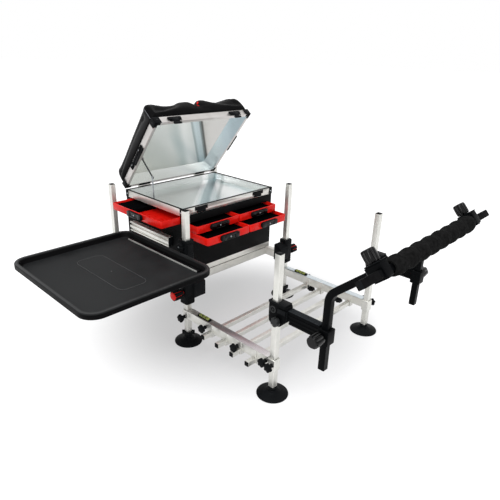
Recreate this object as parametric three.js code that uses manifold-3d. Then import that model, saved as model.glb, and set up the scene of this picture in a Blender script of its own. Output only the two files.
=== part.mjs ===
// Match angler's seat box with an open lid, pulled drawers, adjustable legs,
// a bar footplate, a side tray and a bump bar with a rippled foam roll.
//
// Millimetres, +Z up. While it is built, x = 0 is the box's middle plane,
// y = 0 is the plane of the front box legs, z = 0 is the ground, and the angler
// faces -Y. At the end the whole model is centred over its own footprint.

import * as THREE from 'three';
import { mergeVertices } from 'three/addons/utils/BufferGeometryUtils.js';
import Module from 'manifold-3d';

const wasm = await Module();
wasm.setup();

// Clearances
const seat = 0.3;
const headroom = 0.4;
const running = 0.4;
const overrun = 5;

// Box
const boxWidth = 450;
const boxDepth = 338;
const boxSetback = 59.4;
const panelWall = 3;
const shelfWall = 1;
const dividerWall = 1.4;
const baseHeight = 121.8;

// Base frame
const frameClearance = 184.6;
const railHeight = 52;
const railWall = 20;
const railGrooveDepth = 1.5;
const railGrooveHeight = 3;
const sideRailHeight = 32.4;
const stubReach = 19;

// Drawers
const drawerHeight = 26;
const drawerDepth = 230;
const drawerMargin = 23.5;
const drawerWall = 2;
const drawerFrontWall = 4;
const drawerFloor = 1.6;
const drawerCorner = 8;
const upperDrawerPull = 48.4;
const lowerDrawerPull = 100.4;
const sideDrawerHeight = 24;
const sideDrawerWidth = 295;
const sideDrawerDepth = 250;
const sideDrawerSetback = 13.5;
const sideDrawerPull = 80;
const pullLength = 88;
const pullHeight = 20;
const pullDepth = 6;
const pullSeat = 0.5;
const pullTravel = 2;

// Top tub, rim and seal
const tubSheet = 1;
const tubDepth = 29;
const rimWall = 8;
const rimHeight = 24.4;
const sealHeight = 2.2;
const sealWidth = 5;

// Accessory rail on the left side
const accessoryLength = 236;
const accessoryHeight = 36;
const accessoryDepth = 20;
const accessorySetback = 59;
const accessoryDrop = 112.5;
const accessoryGroove = 5;
const accessorySlot = 8;

// Lid, hinges, latches and stay
const lidOpening = 51;
const lidHeight = 25;
const lidWall = 12;
const lidRoof = 2.5;
const hingeSetback = 4.5;
const hingeRadius = 4;
const hingeInset = 85;
const hingeKnuckle = 16;
const hingeMiddle = 22;
const hingeSide = 0.5;
const hingeLeaf = 14;
const hingeLeafWall = 3;
const latchInset = 82;
const latchWidth = 56;
const latchRise = 18;
const latchDrop = 14;
const latchDepth = 7;
const latchFoot = 3.2;
const latchPivot = 3.5;
const latchChamfer = 2.5;
const keeperDepth = 2.4;
const keeperHeight = 14;
const stayPlane = 18;
const stayWall = 2;
const stayWidth = 6;
const stayHead = 5;
const stayLower = 83;
const stayUpper = 83;
const stayBoxReach = 156.8;
const stayBoxDrop = 13.8;
const stayLidReach = 156;
const stayLidRise = 8;
const stayStud = 2.5;
const stayTabWidth = 12;
const stayTabWall = 3;

// Seat pad
const padOverhang = 7;
const padRear = 61;
const padFront = 68;
const padCorner = 30;
const padWave = 7.5;
const padWaveLength = 130;
const padFirstHump = 60;
const padSeamDepth = 26;
const padSeamWidth = 14;
const padDrawIn = 5;

// Legs and feet
const legSide = 20;
const legCorner = 1.5;
const legOutset = 35.3;
const rearLegSetback = 40.1;
const boxLegTop = 486;
const plateLegReach = 398.6;
const plateLegTop = 462;
const footRadius = 49;
const footEdge = 4;
const footShoulderRadius = 42;
const footShoulder = 10;
const footNeckRadius = 10;
const footNeck = 18;
const footCollarRadius = 15;
const footBall = 9;
const footHeight = 28;

// Leg brackets and their knobs
const bracketSide = 40;
const bracketCorner = 6;
const bracketBottom = 155;
const bracketTop = 256;
const bracketWall = 8;
const bracketFront = 26;
const bracketBack = 10;
const bracketSleeveDrop = 6.6;
const bracketSleeveHeight = 67;
const bracketSlope = 16;
const knobHeight = 200;
const knobRadius = 18;
const knobLobe = 2.5;
const knobLobes = 6;
const knobLength = 38;
const knobStem = 6;
const knobStemRadius = 8;

// Footplate
const plateRailHeight = 30;
const plateRailBottom = 97;
const socketSide = 27;
const socketBottom = 88;
const socketTop = 129;
const barSide = 16;
const barCorner = 1;
const barOverhang = 39.7;
const barCount = 4;
const barFirst = 124;
const barLast = 73.6;
const hoopWall = 2.5;
const saddleWidth = 28;
const saddleHeight = 24;

// Bump bar arms
const armClampWidth = 36;
const armClampBack = 21;
const armClampFront = 48;
const armClampCorner = 8;
const armClampTaper = 28;
const armClampHeel = 22;
const armClampBottom = 252;
const armClampTop = 318;
const armWidth = 22;
const armBottom = 271;
const armTop = 310;
const armGroove = 1.5;
const armGrooves = 3;
const endClampSide = 33;
const endClampBottom = 262;
const endClampTop = 306;
const endKnobRadius = 18;
const endKnobLength = 34;
const endKnobStem = 5;
const endKnobRise = 23;
const endKnobSetback = 4;

// Bent uprights
const uprightReach = 168.8;
const uprightBottom = 181;
const uprightCornerHeight = 405.5;
const uprightBend = 49;
const uprightBendRadius = 48;
const uprightUpperLength = 161;

// Roll bar, its clamps and the foam
const rollBarOverhang = 101.7;
const rollBarSide = 19;
const rollOffset = 6;
const rollReach = 172;
const rollBlockStart = 140;
const rollBlockEnd = 186;
const rollBlockHeight = 40;
const rollBlockInside = 11.5;
const rollBlockOutside = 19;
const rollKnobRadius = 17.5;
const rollKnobLobe = 3;
const rollKnobReach = 159;
const rollKnobLength = 32;
const rollKnobStem = 3;
const foamMargin = 14.8;
const foamCrest = 25;
const foamValley = 22;
const foamRipples = 8;

// Side tray and its clamp
const trayWidth = 427;
const trayLength = 478;
const trayGap = 24.7;
const trayFront = 175;
const trayTop = 350;
const traySkirt = 17;
const trayRim = 13;
const trayCorner = 50;
const trayLedge = 9;
const trayLedgeWidth = 6;
const trayDepth = 20;
const traySlope = 6;
const traySheet = 2.5;
const trayPanelWidth = 104;
const trayPanelLength = 292;
const trayPanelCorner = 22;
const trayPanelRise = 0.8;
const trayClampTop = 388;
const trayClampWidth = 35;
const trayClampLength = 41;
const trayClampCorner = 5;
const trayArmSide = 22;
const trayArmLength = 330;

// Heights that follow from the stack
const frameTop = frameClearance + railHeight;
const panelBottom = frameTop + seat;
const lowerShelfTop = panelBottom + baseHeight;
const lowerDrawerBottom = lowerShelfTop + seat;
const middleShelfBottom = lowerDrawerBottom + drawerHeight + headroom;
const upperDrawerBottom = middleShelfBottom + shelfWall + seat;
const upperShelfBottom = upperDrawerBottom + drawerHeight + headroom;
const upperShelfTop = upperShelfBottom + shelfWall;
const sideDrawerBottom = upperShelfTop + seat;
const tubBottom = sideDrawerBottom + sideDrawerHeight + headroom;
const sealTop = tubBottom + tubSheet + tubDepth;
const rimTop = sealTop - sealHeight - seat;
const rimBottom = rimTop - rimHeight;
const panelTop = rimBottom - seat;
const hingeHeight = sealTop;

// Places that follow from the plan
const halfWidth = boxWidth / 2;
const boxRear = boxSetback + boxDepth;
const boxLegSpacing = boxRear + rearLegSetback;
const legX = halfWidth + legOutset;
const latchSpacing = boxWidth - 2 * latchInset;
const hingeSpacing = boxWidth - 2 * hingeInset;
const barReach = legX + barOverhang;
const barPitch = (plateLegReach - barFirst - barLast) / (barCount - 1);
const rollBarLength = 2 * (legX + rollBarOverhang);
const foamLength = 2 * (legX - rollBlockInside - foamMargin);
const trayInner = legX + trayGap;
const hingeY = boxRear + hingeSetback;
const sideDrawerFront = boxSetback + sideDrawerSetback;
const railInner = halfWidth - railWall;
const stayX = -(halfWidth - stayPlane);
const uprightY = -(plateLegReach + uprightReach);
const trayLevel = trayTop - trayDepth - traySheet;

// Materials
function material(color, roughness, metalness) {
  return new THREE.MeshStandardMaterial({ color, roughness, metalness });
}
const aluminium = material(0xd2d2cd, 0.35, 0.9);
const zinc = material(0xc3ccd1, 0.3, 0.9);
const blackPlastic = material(0x17181a, 0.55, 0);
const blackPanel = material(0x131416, 0.6, 0);
const blackMetal = material(0x1b1c1e, 0.4, 0.4);
const redPlastic = material(0xe02822, 0.35, 0);
const sheetMetal = material(0xd5dcde, 0.2, 1);
const rubber = material(0x1a1a1b, 0.8, 0);
const foam = material(0x151515, 0.95, 0);
const leather = material(0x151515, 0.5, 0);

// Basic solids
function block([x0, x1], [y0, y1], [z0, z1]) {
  const box = new THREE.BoxGeometry(Math.abs(x1 - x0), Math.abs(y1 - y0), Math.abs(z1 - z0));
  return box.translate((x0 + x1) / 2, (y0 + y1) / 2, (z0 + z1) / 2);
}

const bases = {
  x: [new THREE.Vector3(0, 1, 0), new THREE.Vector3(0, 0, 1), new THREE.Vector3(1, 0, 0)],
  y: [new THREE.Vector3(0, 0, 1), new THREE.Vector3(1, 0, 0), new THREE.Vector3(0, 1, 0)],
  z: [new THREE.Vector3(1, 0, 0), new THREE.Vector3(0, 1, 0), new THREE.Vector3(0, 0, 1)],
};

// Extrudes an outline along an axis. The outline's points are (y, z) along x,
// (z, x) along y and (x, y) along z.
function prism(outline, axis, [from, to], chamfer = 0) {
  const points = outline.map(([a, b]) => new THREE.Vector2(a, b));
  if (THREE.ShapeUtils.isClockWise(points)) points.reverse();
  const low = Math.min(from, to) + chamfer;
  const geometry = new THREE.ExtrudeGeometry(new THREE.Shape(points), {
    depth: Math.abs(to - from) - 2 * chamfer,
    bevelEnabled: chamfer > 0,
    bevelSegments: 1,
    bevelSize: chamfer,
    bevelOffset: -chamfer,
    bevelThickness: chamfer,
  });
  geometry.translate(0, 0, low);
  return geometry.applyMatrix4(new THREE.Matrix4().makeBasis(...bases[axis]));
}

function chamferedSquare(side, corner, a = 0, b = 0) {
  const half = side / 2;
  const inner = half - corner;
  return [
    [a - inner, b - half], [a + inner, b - half], [a + half, b - inner], [a + half, b + inner],
    [a + inner, b + half], [a - inner, b + half], [a - half, b + inner], [a - half, b - inner],
  ];
}

function roundedRectangle([x0, x1], [y0, y1], radius, steps) {
  const corners = [[x1, y1, 0], [x0, y1, 1], [x0, y0, 2], [x1, y0, 3]];
  return corners.flatMap(([x, y, quarter]) => {
    const cx = x === x1 ? x - radius : x + radius;
    const cy = y === y1 ? y - radius : y + radius;
    return Array.from({ length: steps + 1 }, (_, i) => {
      const angle = (quarter + i / steps) * Math.PI / 2;
      return [cx + radius * Math.cos(angle), cy + radius * Math.sin(angle)];
    });
  });
}

function circle(radius, sides, a = 0, b = 0) {
  return Array.from({ length: sides }, (_, i) => {
    const angle = i * 2 * Math.PI / sides;
    return [a + radius * Math.cos(angle), b + radius * Math.sin(angle)];
  });
}

function lobed(radius, depth, lobes, a = 0, b = 0) {
  const steps = 4;
  return Array.from({ length: lobes * steps }, (_, i) => {
    const angle = i * 2 * Math.PI / (lobes * steps);
    const r = radius - depth * (1 - Math.cos(lobes * angle)) / 2;
    return [a + r * Math.cos(angle), b + r * Math.sin(angle)];
  });
}

// Closes a stack of equal rings of points with a flat fan at each end
function loft(rings) {
  const count = rings[0].length;
  const positions = rings.flat(2);
  const index = [];
  for (let r = 0; r + 1 < rings.length; r += 1) {
    for (let i = 0; i < count; i += 1) {
      const next = (i + 1) % count;
      const a = r * count + i;
      const b = r * count + next;
      index.push(a, b, b + count, a, b + count, a + count);
    }
  }
  for (const [ring, flip] of [[rings[0], true], [rings[rings.length - 1], false]]) {
    const start = flip ? 0 : (rings.length - 1) * count;
    const centre = positions.length / 3;
    const sum = ring.reduce((total, point) => total.map((value, k) => value + point[k]), [0, 0, 0]);
    positions.push(...sum.map((value) => value / count));
    for (let i = 0; i < count; i += 1) {
      const next = start + (i + 1) % count;
      index.push(centre, ...(flip ? [next, start + i] : [start + i, next]));
    }
  }
  const geometry = new THREE.BufferGeometry();
  geometry.setAttribute('position', new THREE.Float32BufferAttribute(positions, 3));
  geometry.setIndex(index);
  return geometry;
}

// Joins and cuts
function solid(geometry) {
  const bare = geometry.clone();
  bare.deleteAttribute('normal');
  bare.deleteAttribute('uv');
  const merged = mergeVertices(bare);
  return new wasm.Manifold(new wasm.Mesh({
    numProp: 3,
    vertProperties: merged.getAttribute('position').array,
    triVerts: Uint32Array.from(merged.getIndex().array),
  }));
}

function build(joined, cut = []) {
  let body = solid(joined[0]);
  for (const geometry of joined.slice(1)) body = body.add(solid(geometry));
  for (const geometry of cut) body = body.subtract(solid(geometry));
  const { vertProperties, triVerts } = body.getMesh();
  const geometry = new THREE.BufferGeometry();
  geometry.setAttribute('position', new THREE.Float32BufferAttribute(vertProperties, 3));
  geometry.setIndex(Array.from(triVerts));
  geometry.computeVertexNormals();
  return geometry;
}

const model = new THREE.Group();

function add(name, geometry, look, parent = model) {
  geometry.computeVertexNormals();
  const mesh = new THREE.Mesh(geometry, look);
  mesh.name = name;
  parent.add(mesh);
  return mesh;
}

const sides = { left: -1, right: 1 };
const ends = { front: -1, rear: 1 };

// Base frame: the front and rear rails carry the short stubs that hold the leg brackets
function railProfile(face, inward) {
  const back = face + inward * railWall;
  const groove = face + inward * railGrooveDepth;
  const line = frameClearance + sideRailHeight;
  return [
    [back, frameClearance], [face, frameClearance],
    [face, line - railGrooveHeight], [groove, line - railGrooveHeight],
    [groove, line], [face, line],
    [face, frameTop], [back, frameTop],
  ];
}

function stub(side, legY, railY) {
  const x = [side * railInner, side * halfWidth];
  const outer = legY + Math.sign(legY - railY) * stubReach;
  return block(x, [outer, railY], [frameClearance, frameClearance + sideRailHeight]);
}

function endRail(face, inward, legY) {
  const middle = face + inward * railWall / 2;
  const bar = prism(railProfile(face, inward), 'x', [-halfWidth, halfWidth]);
  return build([bar, stub(-1, legY, middle), stub(1, legY, middle)]);
}

add('frame_rail_front', endRail(boxSetback, 1, 0), aluminium);
add('frame_rail_rear', endRail(boxRear, -1, boxLegSpacing), aluminium);
for (const [name, side] of Object.entries(sides)) {
  const y = [boxSetback + railWall + seat, boxRear - railWall - seat];
  const face = side * halfWidth;
  const outline = railProfile(face, -side).map(([a, z]) => [z, a]);
  add(`frame_rail_${name}`, prism(outline, 'y', y), aluminium);
}

// Cabinet: rear wall, side walls and shelves in one, with the drawer front panel apart
const drawerWindow = halfWidth - drawerMargin + headroom;
const coreFront = boxSetback + panelWall + seat;
const wallInner = halfWidth - panelWall;
const sideNotch = [sideDrawerFront - headroom, sideDrawerFront + sideDrawerWidth + headroom];

function cabinetCore() {
  const depth = [coreFront, boxRear];
  const height = [panelBottom, panelTop];
  const inside = [coreFront, boxRear - panelWall / 2];
  const across = [-wallInner - panelWall / 2, wallInner + panelWall / 2];
  const shelves = [lowerShelfTop - shelfWall, middleShelfBottom, upperShelfBottom]
    .map((bottom) => block(across, inside, [bottom, bottom + shelfWall]));
  const divider = block(
    [-dividerWall / 2, dividerWall / 2],
    inside,
    [lowerShelfTop - shelfWall / 2, upperShelfBottom + shelfWall / 2],
  );
  return build(
    [
      block([-halfWidth, halfWidth], [boxRear - panelWall, boxRear], height),
      block([-halfWidth, -wallInner], depth, height),
      block([wallInner, halfWidth], depth, height),
      ...shelves,
      divider,
    ],
    [block([-halfWidth - overrun, -wallInner], sideNotch, [upperShelfTop, panelTop + overrun])],
  );
}

add('cabinet_core', cabinetCore(), blackPanel);
add('cabinet_front', build(
  [block([-halfWidth, halfWidth], [boxSetback, boxSetback + panelWall], [panelBottom, panelTop])],
  [block(
    [-drawerWindow, drawerWindow],
    [boxSetback - overrun, coreFront],
    [lowerShelfTop, upperShelfBottom],
  )],
), blackPanel);

// Drawers: open trays with a thicker front, each with a black pull that presses
// into a shallow pocket of that front
const pocketDepth = pullSeat + pullTravel + seat;

function drawer(x, y, z, frontWalls, pocket) {
  const inset = (range, front) => [
    range[0] + (front ? drawerFrontWall : drawerWall),
    range[1] - drawerWall,
  ];
  const outer = prism(roundedRectangle(x, y, drawerCorner, 3), 'z', z);
  const inner = roundedRectangle(
    inset(x, frontWalls.x),
    inset(y, frontWalls.y),
    drawerCorner - drawerWall,
    3,
  );
  return build([outer], [prism(inner, 'z', [z[0] + drawerFloor, z[1] + overrun]), pocket]);
}

function pullOutline(along, up, clearance = 0) {
  const length = pullLength / 2 + clearance;
  const height = pullHeight / 2 + clearance;
  return roundedRectangle([along - length, along + length], [up - height, up + height], height * 0.9, 3);
}

const rows = [
  ['lower', lowerDrawerBottom, lowerDrawerPull],
  ['upper', upperDrawerBottom, upperDrawerPull],
];
for (const [row, bottom, pulled] of rows) {
  for (const [name, side] of Object.entries(sides)) {
    const near = dividerWall / 2 + headroom;
    const far = halfWidth - drawerMargin;
    const x = side > 0 ? [near, far] : [-far, -near];
    const face = boxSetback - pulled;
    const z = [bottom, bottom + drawerHeight];
    const centre = [(x[0] + x[1]) / 2, bottom + drawerHeight / 2];
    const swap = (outline) => outline.map(([a, b]) => [b, a]);
    const pocket = prism(swap(pullOutline(...centre, running)), 'y', [face - overrun, face + pocketDepth]);
    const y = [face, face + drawerDepth];
    add(`drawer_${row}_${name}`, drawer(x, y, z, { y: true }, pocket), redPlastic);
    const pull = prism(swap(pullOutline(...centre)), 'y', [face - pullDepth, face + pullSeat]);
    add(`drawer_pull_${row}_${name}`, pull, blackPlastic);
  }
}

function sideDrawer() {
  const face = -halfWidth - sideDrawerPull;
  const y = [sideDrawerFront, sideDrawerFront + sideDrawerWidth];
  const z = [sideDrawerBottom, sideDrawerBottom + sideDrawerHeight];
  const centre = [(y[0] + y[1]) / 2, sideDrawerBottom + sideDrawerHeight / 2];
  const pocket = prism(pullOutline(...centre, running), 'x', [face - overrun, face + pocketDepth]);
  const tray = drawer([face, face + sideDrawerDepth], y, z, { x: true }, pocket);
  add('drawer_side', tray, redPlastic);
  const pull = prism(pullOutline(...centre), 'x', [face - pullDepth, face + pullSeat]);
  add('drawer_pull_side', pull, blackPlastic);
}
sideDrawer();

// Top tub of bright sheet, the rim round it and the seal on the rim
function hingeKnuckles(centreX) {
  const half = hingeMiddle / 2 + hingeSide;
  return [-1, 1].map((way) => [centreX + way * half, centreX + way * (half + hingeKnuckle)]);
}

function rimFrame() {
  const y = [boxSetback, boxRear];
  const inner = halfWidth - rimWall;
  const solids = [block([-halfWidth, halfWidth], y, [rimBottom, rimTop])];
  for (const side of [-1, 1]) {
    const keeperX = side * latchSpacing / 2;
    solids.push(block(
      [keeperX - latchWidth / 2, keeperX + latchWidth / 2],
      [boxSetback - keeperDepth, boxSetback + rimWall / 2],
      [rimTop - keeperHeight - seat, rimTop - seat],
    ));
    for (const x of hingeKnuckles(side * hingeSpacing / 2)) {
      solids.push(prism(circle(hingeRadius, 12, hingeY, hingeHeight), 'x', x));
      solids.push(block(
        x,
        [boxRear - rimWall / 2, hingeY - hingeRadius + hingeLeafWall],
        [hingeHeight - hingeLeaf, hingeHeight - hingeRadius / 2],
      ));
    }
  }
  const window = block(
    [-inner, inner],
    [boxSetback + rimWall, boxRear - rimWall],
    [rimBottom - overrun, rimTop + overrun],
  );
  const lip = block(
    [-halfWidth, halfWidth],
    [boxSetback, boxRear],
    [rimTop, sealTop + hingeHeight],
  );
  return build(solids, [window, lip]);
}

function tubShell() {
  const x = halfWidth - rimWall - seat;
  const y = [boxSetback + rimWall + seat, boxRear - rimWall - seat];
  const stud = circle(stayStud, 10, hingeY - stayBoxReach, hingeHeight - stayBoxDrop);
  return build(
    [
      build(
        [block([-x, x], y, [tubBottom, rimTop])],
        [block(
          [-x + tubSheet, x - tubSheet],
          [y[0] + tubSheet, y[1] - tubSheet],
          [tubBottom + tubSheet, rimTop + overrun],
        )],
      ),
      prism(stud, 'x', [-x + tubSheet / 2, stayX + stayWall]),
    ],
  );
}

add('top_tub', tubShell(), sheetMetal);
add('rim_frame', rimFrame(), aluminium);
const sealInset = rimWall - sealWidth;
const sealOuter = halfWidth - sealInset / 2;
const sealInner = sealOuter - sealWidth;
add('rim_seal', build(
  [block(
    [-sealOuter, sealOuter],
    [boxSetback + sealInset / 2, boxRear - sealInset / 2],
    [rimTop + seat, sealTop],
  )],
  [block(
    [-sealInner, sealInner],
    [boxSetback + sealInset / 2 + sealWidth, boxRear - sealInset / 2 - sealWidth],
    [rimTop - overrun, sealTop + overrun],
  )],
), rubber);

// Accessory rail with two T-slots open to the side
function accessoryProfile() {
  const inner = -halfWidth - seat;
  const outer = inner - accessoryDepth;
  const base = sealTop - accessoryDrop - accessoryHeight;
  const middle = base + accessoryHeight / 2;
  const slots = [middle + accessoryHeight / 4, middle - accessoryHeight / 4];
  const points = [[base + accessoryHeight, inner], [base + accessoryHeight, outer]];
  for (const centre of slots) {
    points.push(
      [centre + accessorySlot / 2, outer],
      [centre + accessorySlot / 2, outer + accessoryGroove],
      [centre - accessorySlot / 2, outer + accessoryGroove],
      [centre - accessorySlot / 2, outer],
    );
  }
  points.push([base, outer], [base, inner]);
  return points;
}
const accessoryY = [boxSetback + accessorySetback, boxSetback + accessorySetback + accessoryLength];
add('accessory_rail', prism(accessoryProfile(), 'y', accessoryY), aluminium);

// Leg brackets: a sleeve round the box leg and a sleeve over the stub of the base frame
const bore = legSide + 2 * running;

function legBore(x, y, [bottom, top]) {
  const half = bore / 2;
  return block([x - half, x + half], [y - half, y + half], [bottom - overrun, top + overrun]);
}

function legBracket(side, end) {
  const legY = end < 0 ? 0 : boxLegSpacing;
  const x = side * legX;
  const outer = legY + end * bracketFront;
  const inner = legY - end * bracketBack;
  const bottom = frameClearance - bracketSleeveDrop;
  const top = bottom + bracketSleeveHeight;
  const sleeve = [
    [outer, bottom], [inner, bottom], [inner, top], [legY, top], [outer, top - bracketSlope],
  ];
  const sleeveInner = side * (railInner - seat - bracketWall / 2);
  const leg = [bracketBottom, bracketTop];
  return build(
    [
      prism(chamferedSquare(bracketSide, bracketCorner, x, legY), 'z', leg, bracketCorner / 2),
      prism(sleeve, 'x', [sleeveInner, x - side * bracketSide / 4]),
    ],
    [
      legBore(x, legY, leg),
      block(
        [side * (railInner - seat), side * (halfWidth + seat)],
        [legY + end * (stubReach + seat), legY - end * (bracketBack + overrun)],
        [frameClearance - seat, frameClearance + sideRailHeight + seat],
      ),
    ],
  );
}

function handKnob(face, side, radius, depth, stemRadius, [stem, length], y, z) {
  const start = face + side * seat;
  const middle = start + side * stem;
  return build([
    prism(circle(stemRadius, 12, y, z), 'x', [start, middle + side * stem / 2]),
    prism(lobed(radius, depth, knobLobes, y, z), 'x', [middle, middle + side * length], depth / 2),
  ]);
}

for (const [endName, end] of Object.entries(ends)) {
  for (const [sideName, side] of Object.entries(sides)) {
    const legY = end < 0 ? 0 : boxLegSpacing;
    const name = `${endName}_${sideName}`;
    add(`leg_bracket_${name}`, legBracket(side, end), blackPlastic);
    const face = side * (legX + bracketSide / 2);
    const size = [knobStem, knobLength];
    const knob = handKnob(face, side, knobRadius, knobLobe, knobStemRadius, size, legY, knobHeight);
    add(`bracket_knob_${name}`, knob, redPlastic);
  }
}

// Legs and their mud feet
function foot() {
  const profile = [
    [0, 0], [footRadius, 0], [footRadius, footEdge], [footShoulderRadius, footShoulder],
    [footNeckRadius, footNeck], [footCollarRadius, footNeck + footBall / 3],
    [footCollarRadius, footHeight], [0, footHeight],
  ];
  const outline = profile.map(([r, z]) => new THREE.Vector2(r, z));
  return solidLathe(outline);
}

// A lathe about Z, closed on its axis
function solidLathe(outline) {
  const lathe = new THREE.LatheGeometry(outline, 24);
  lathe.deleteAttribute('normal');
  lathe.deleteAttribute('uv');
  return mergeVertices(lathe.rotateX(Math.PI / 2));
}

const legs = {
  box_front_left: [-legX, 0, boxLegTop],
  box_front_right: [legX, 0, boxLegTop],
  box_rear_left: [-legX, boxLegSpacing, boxLegTop],
  box_rear_right: [legX, boxLegSpacing, boxLegTop],
  plate_left: [-legX, -plateLegReach, plateLegTop],
  plate_right: [legX, -plateLegReach, plateLegTop],
};
for (const [name, [x, y, top]] of Object.entries(legs)) {
  const height = [footHeight + seat, top];
  const outline = chamferedSquare(legSide, legCorner);
  add(`leg_${name}`, prism(outline, 'z', height), aluminium).position.set(x, y, 0);
  add(`foot_${name}`, foot(), blackPlastic).position.set(x, y, 0);
}

// Footplate: side rails with sockets at both ends, saddles and hoops for the cross bars
const barY = Array.from({ length: barCount }, (_, i) => -(barFirst + i * barPitch));
const barTop = plateRailBottom - seat;
const barZ = barTop - barSide / 2;

function plateRail(side) {
  const x = side * legX;
  const across = [x - railWall / 2, x + railWall / 2];
  const top = plateRailBottom + plateRailHeight;
  const joined = [block(across, [-plateLegReach, 0], [plateRailBottom, top])];
  const cut = [];
  const socket = [socketBottom, socketTop];
  for (const legY of [0, -plateLegReach]) {
    joined.push(prism(chamferedSquare(socketSide, legCorner, x, legY), 'z', socket, legCorner));
    cut.push(legBore(x, legY, socket));
  }
  const hoop = barSide / 2 + seat + hoopWall;
  for (const y of barY) {
    joined.push(block(
      [across[0] - hoopWall, across[1] + hoopWall],
      [y - saddleWidth / 2, y + saddleWidth / 2],
      [top + hoopWall - saddleHeight, top + hoopWall],
    ));
    joined.push(block(across, [y - hoop, y + hoop], [barZ - hoop, plateRailBottom + hoopWall]));
    const hole = chamferedSquare(barSide + 2 * seat, barCorner, y, barZ);
    cut.push(prism(hole, 'x', [across[0] - overrun, across[1] + overrun]));
  }
  return build(joined, cut);
}

for (const [name, side] of Object.entries(sides)) add(`plate_rail_${name}`, plateRail(side), aluminium);
barY.forEach((y, i) => {
  const outline = chamferedSquare(barSide, barCorner, y, barZ);
  add(`cross_bar_${i + 1}`, prism(outline, 'x', [-barReach, barReach]), aluminium);
});

// Bump bar arms: clamp on the footplate leg, fluted arm, clamp on the bent upright
function fluted(x) {
  const half = armWidth / 2;
  const pitch = (armTop - armBottom) / (2 * armGrooves + 1);
  const levels = Array.from({ length: 2 * armGrooves + 2 }, (_, i) => armBottom + i * pitch);
  const edge = (way) => levels.flatMap((z, i) => {
    const outer = x + way * half;
    const inner = outer - way * armGroove;
    if (i === 0 || i === levels.length - 1) return [[z, outer]];
    return i % 2 ? [[z, outer], [z, inner]] : [[z, inner], [z, outer]];
  });
  return [...edge(1), ...edge(-1).reverse()];
}

function chamferedRectangle([x0, x1], [y0, y1], corner) {
  return [
    [x0 + corner, y0], [x1 - corner, y0], [x1, y0 + corner], [x1, y1 - corner],
    [x1 - corner, y1], [x0 + corner, y1], [x0, y1 - corner], [x0, y0 + corner],
  ];
}

function bumpArm(side) {
  const x = side * legX;
  const legY = -plateLegReach;
  const half = armClampWidth / 2;
  const clampY = [legY - armClampFront, legY + armClampBack];
  const clampZ = [armClampBottom, armClampTop];
  const end = endClampSide / 2;
  const endZ = [endClampBottom, endClampTop];
  const endY = [uprightY - end, uprightY + end];
  const wedge = [
    [clampY[0] - overrun, armClampBottom - overrun],
    [clampY[0] - overrun, armClampBottom + armClampTaper],
    [clampY[0] + armClampTaper, armClampBottom - overrun],
  ];
  const heel = [
    [clampY[1] + overrun, armClampBottom - overrun],
    [clampY[1] - armClampHeel, armClampBottom - overrun],
    [clampY[1] + overrun, armClampBottom + armClampHeel],
  ];
  const knobY = uprightY + endKnobSetback;
  const knobZ = endClampBottom + endKnobRise;
  const face = x + side * end;
  const stem = face + side * endKnobStem;
  const grip = [stem, stem + side * endKnobLength];
  return build(
    [
      prism(chamferedRectangle([x - half, x + half], clampY, armClampCorner), 'z', clampZ, legCorner),
      prism(fluted(x), 'y', [endY[1] - legCorner, clampY[0] + armClampCorner]),
      prism(chamferedRectangle([x - end, x + end], endY, legCorner), 'z', endZ, legCorner),
      prism(circle(knobStemRadius, 12, knobY, knobZ), 'x', [face - side * end / 3, stem + side * seat]),
      prism(lobed(endKnobRadius, knobLobe, knobLobes, knobY, knobZ), 'x', grip, knobLobe / 2),
    ],
    [
      prism(wedge, 'x', [x - half - overrun, x + half + overrun]),
      prism(heel, 'x', [x - half - overrun, x + half + overrun]),
      legBore(x, legY, clampZ),
      legBore(x, uprightY, endZ),
    ],
  );
}

for (const [name, side] of Object.entries(sides)) add(`bump_arm_${name}`, bumpArm(side), blackMetal);

// Bent uprights: square tube, vertical below and leaning outwards above the bend,
// with the roll clamp and its knob at the upper end. The origin is the bend's corner.
const bend = THREE.MathUtils.degToRad(uprightBend);
const bendSteps = 8;
const rollCentre = [-rollOffset, rollReach];

function bentTube() {
  const cut = uprightBendRadius * Math.tan(bend / 2);
  const stations = [[0, uprightBottom - uprightCornerHeight, 0]];
  for (let i = 0; i <= bendSteps; i += 1) {
    const angle = bend * i / bendSteps;
    const y = -uprightBendRadius * (1 - Math.cos(angle));
    stations.push([y, uprightBendRadius * Math.sin(angle) - cut, angle]);
  }
  const reach = uprightUpperLength;
  stations.push([-reach * Math.sin(bend), reach * Math.cos(bend), bend]);
  return loft(stations.map(([y, z, angle]) => chamferedSquare(legSide, legCorner)
    .map(([a, b]) => [a, y + b * Math.cos(angle), z + b * Math.sin(angle)])));
}

function upright(side) {
  const half = rollBlockHeight / 2;
  const across = [-side * rollBlockInside, side * rollBlockOutside].sort((a, b) => a - b);
  const clamp = chamferedRectangle(across, [-half, half], legCorner * 2);
  const knob = [rollKnobReach, 0];
  const stem = half + rollKnobStem;
  const grip = [stem, stem + rollKnobLength];
  const hole = chamferedSquare(rollBarSide + 2 * seat, legCorner, ...rollCentre);
  const leaning = [
    prism(clamp, 'z', [rollBlockStart, rollBlockEnd], legCorner),
    prism(circle(knobStemRadius, 12, ...knob), 'y', [half - rollKnobStem, stem + seat]),
    prism(lobed(rollKnobRadius, rollKnobLobe, knobLobes, ...knob), 'y', grip, knobLobe / 2),
  ];
  const passage = prism(hole, 'x', across.map((x) => x + Math.sign(x) * overrun));
  return build(
    [bentTube(), ...leaning.map((geometry) => geometry.rotateX(bend))],
    [passage.rotateX(bend)],
  );
}

for (const [name, side] of Object.entries(sides)) {
  add(`bump_upright_${name}`, upright(side), blackMetal)
    .position.set(side * legX, uprightY, uprightCornerHeight);
}

// Roll bar and its foam lie across the leaning clamps
const roll = new THREE.Group();
roll.position.set(0, uprightY, uprightCornerHeight);
roll.rotation.x = bend;
model.add(roll);

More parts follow.
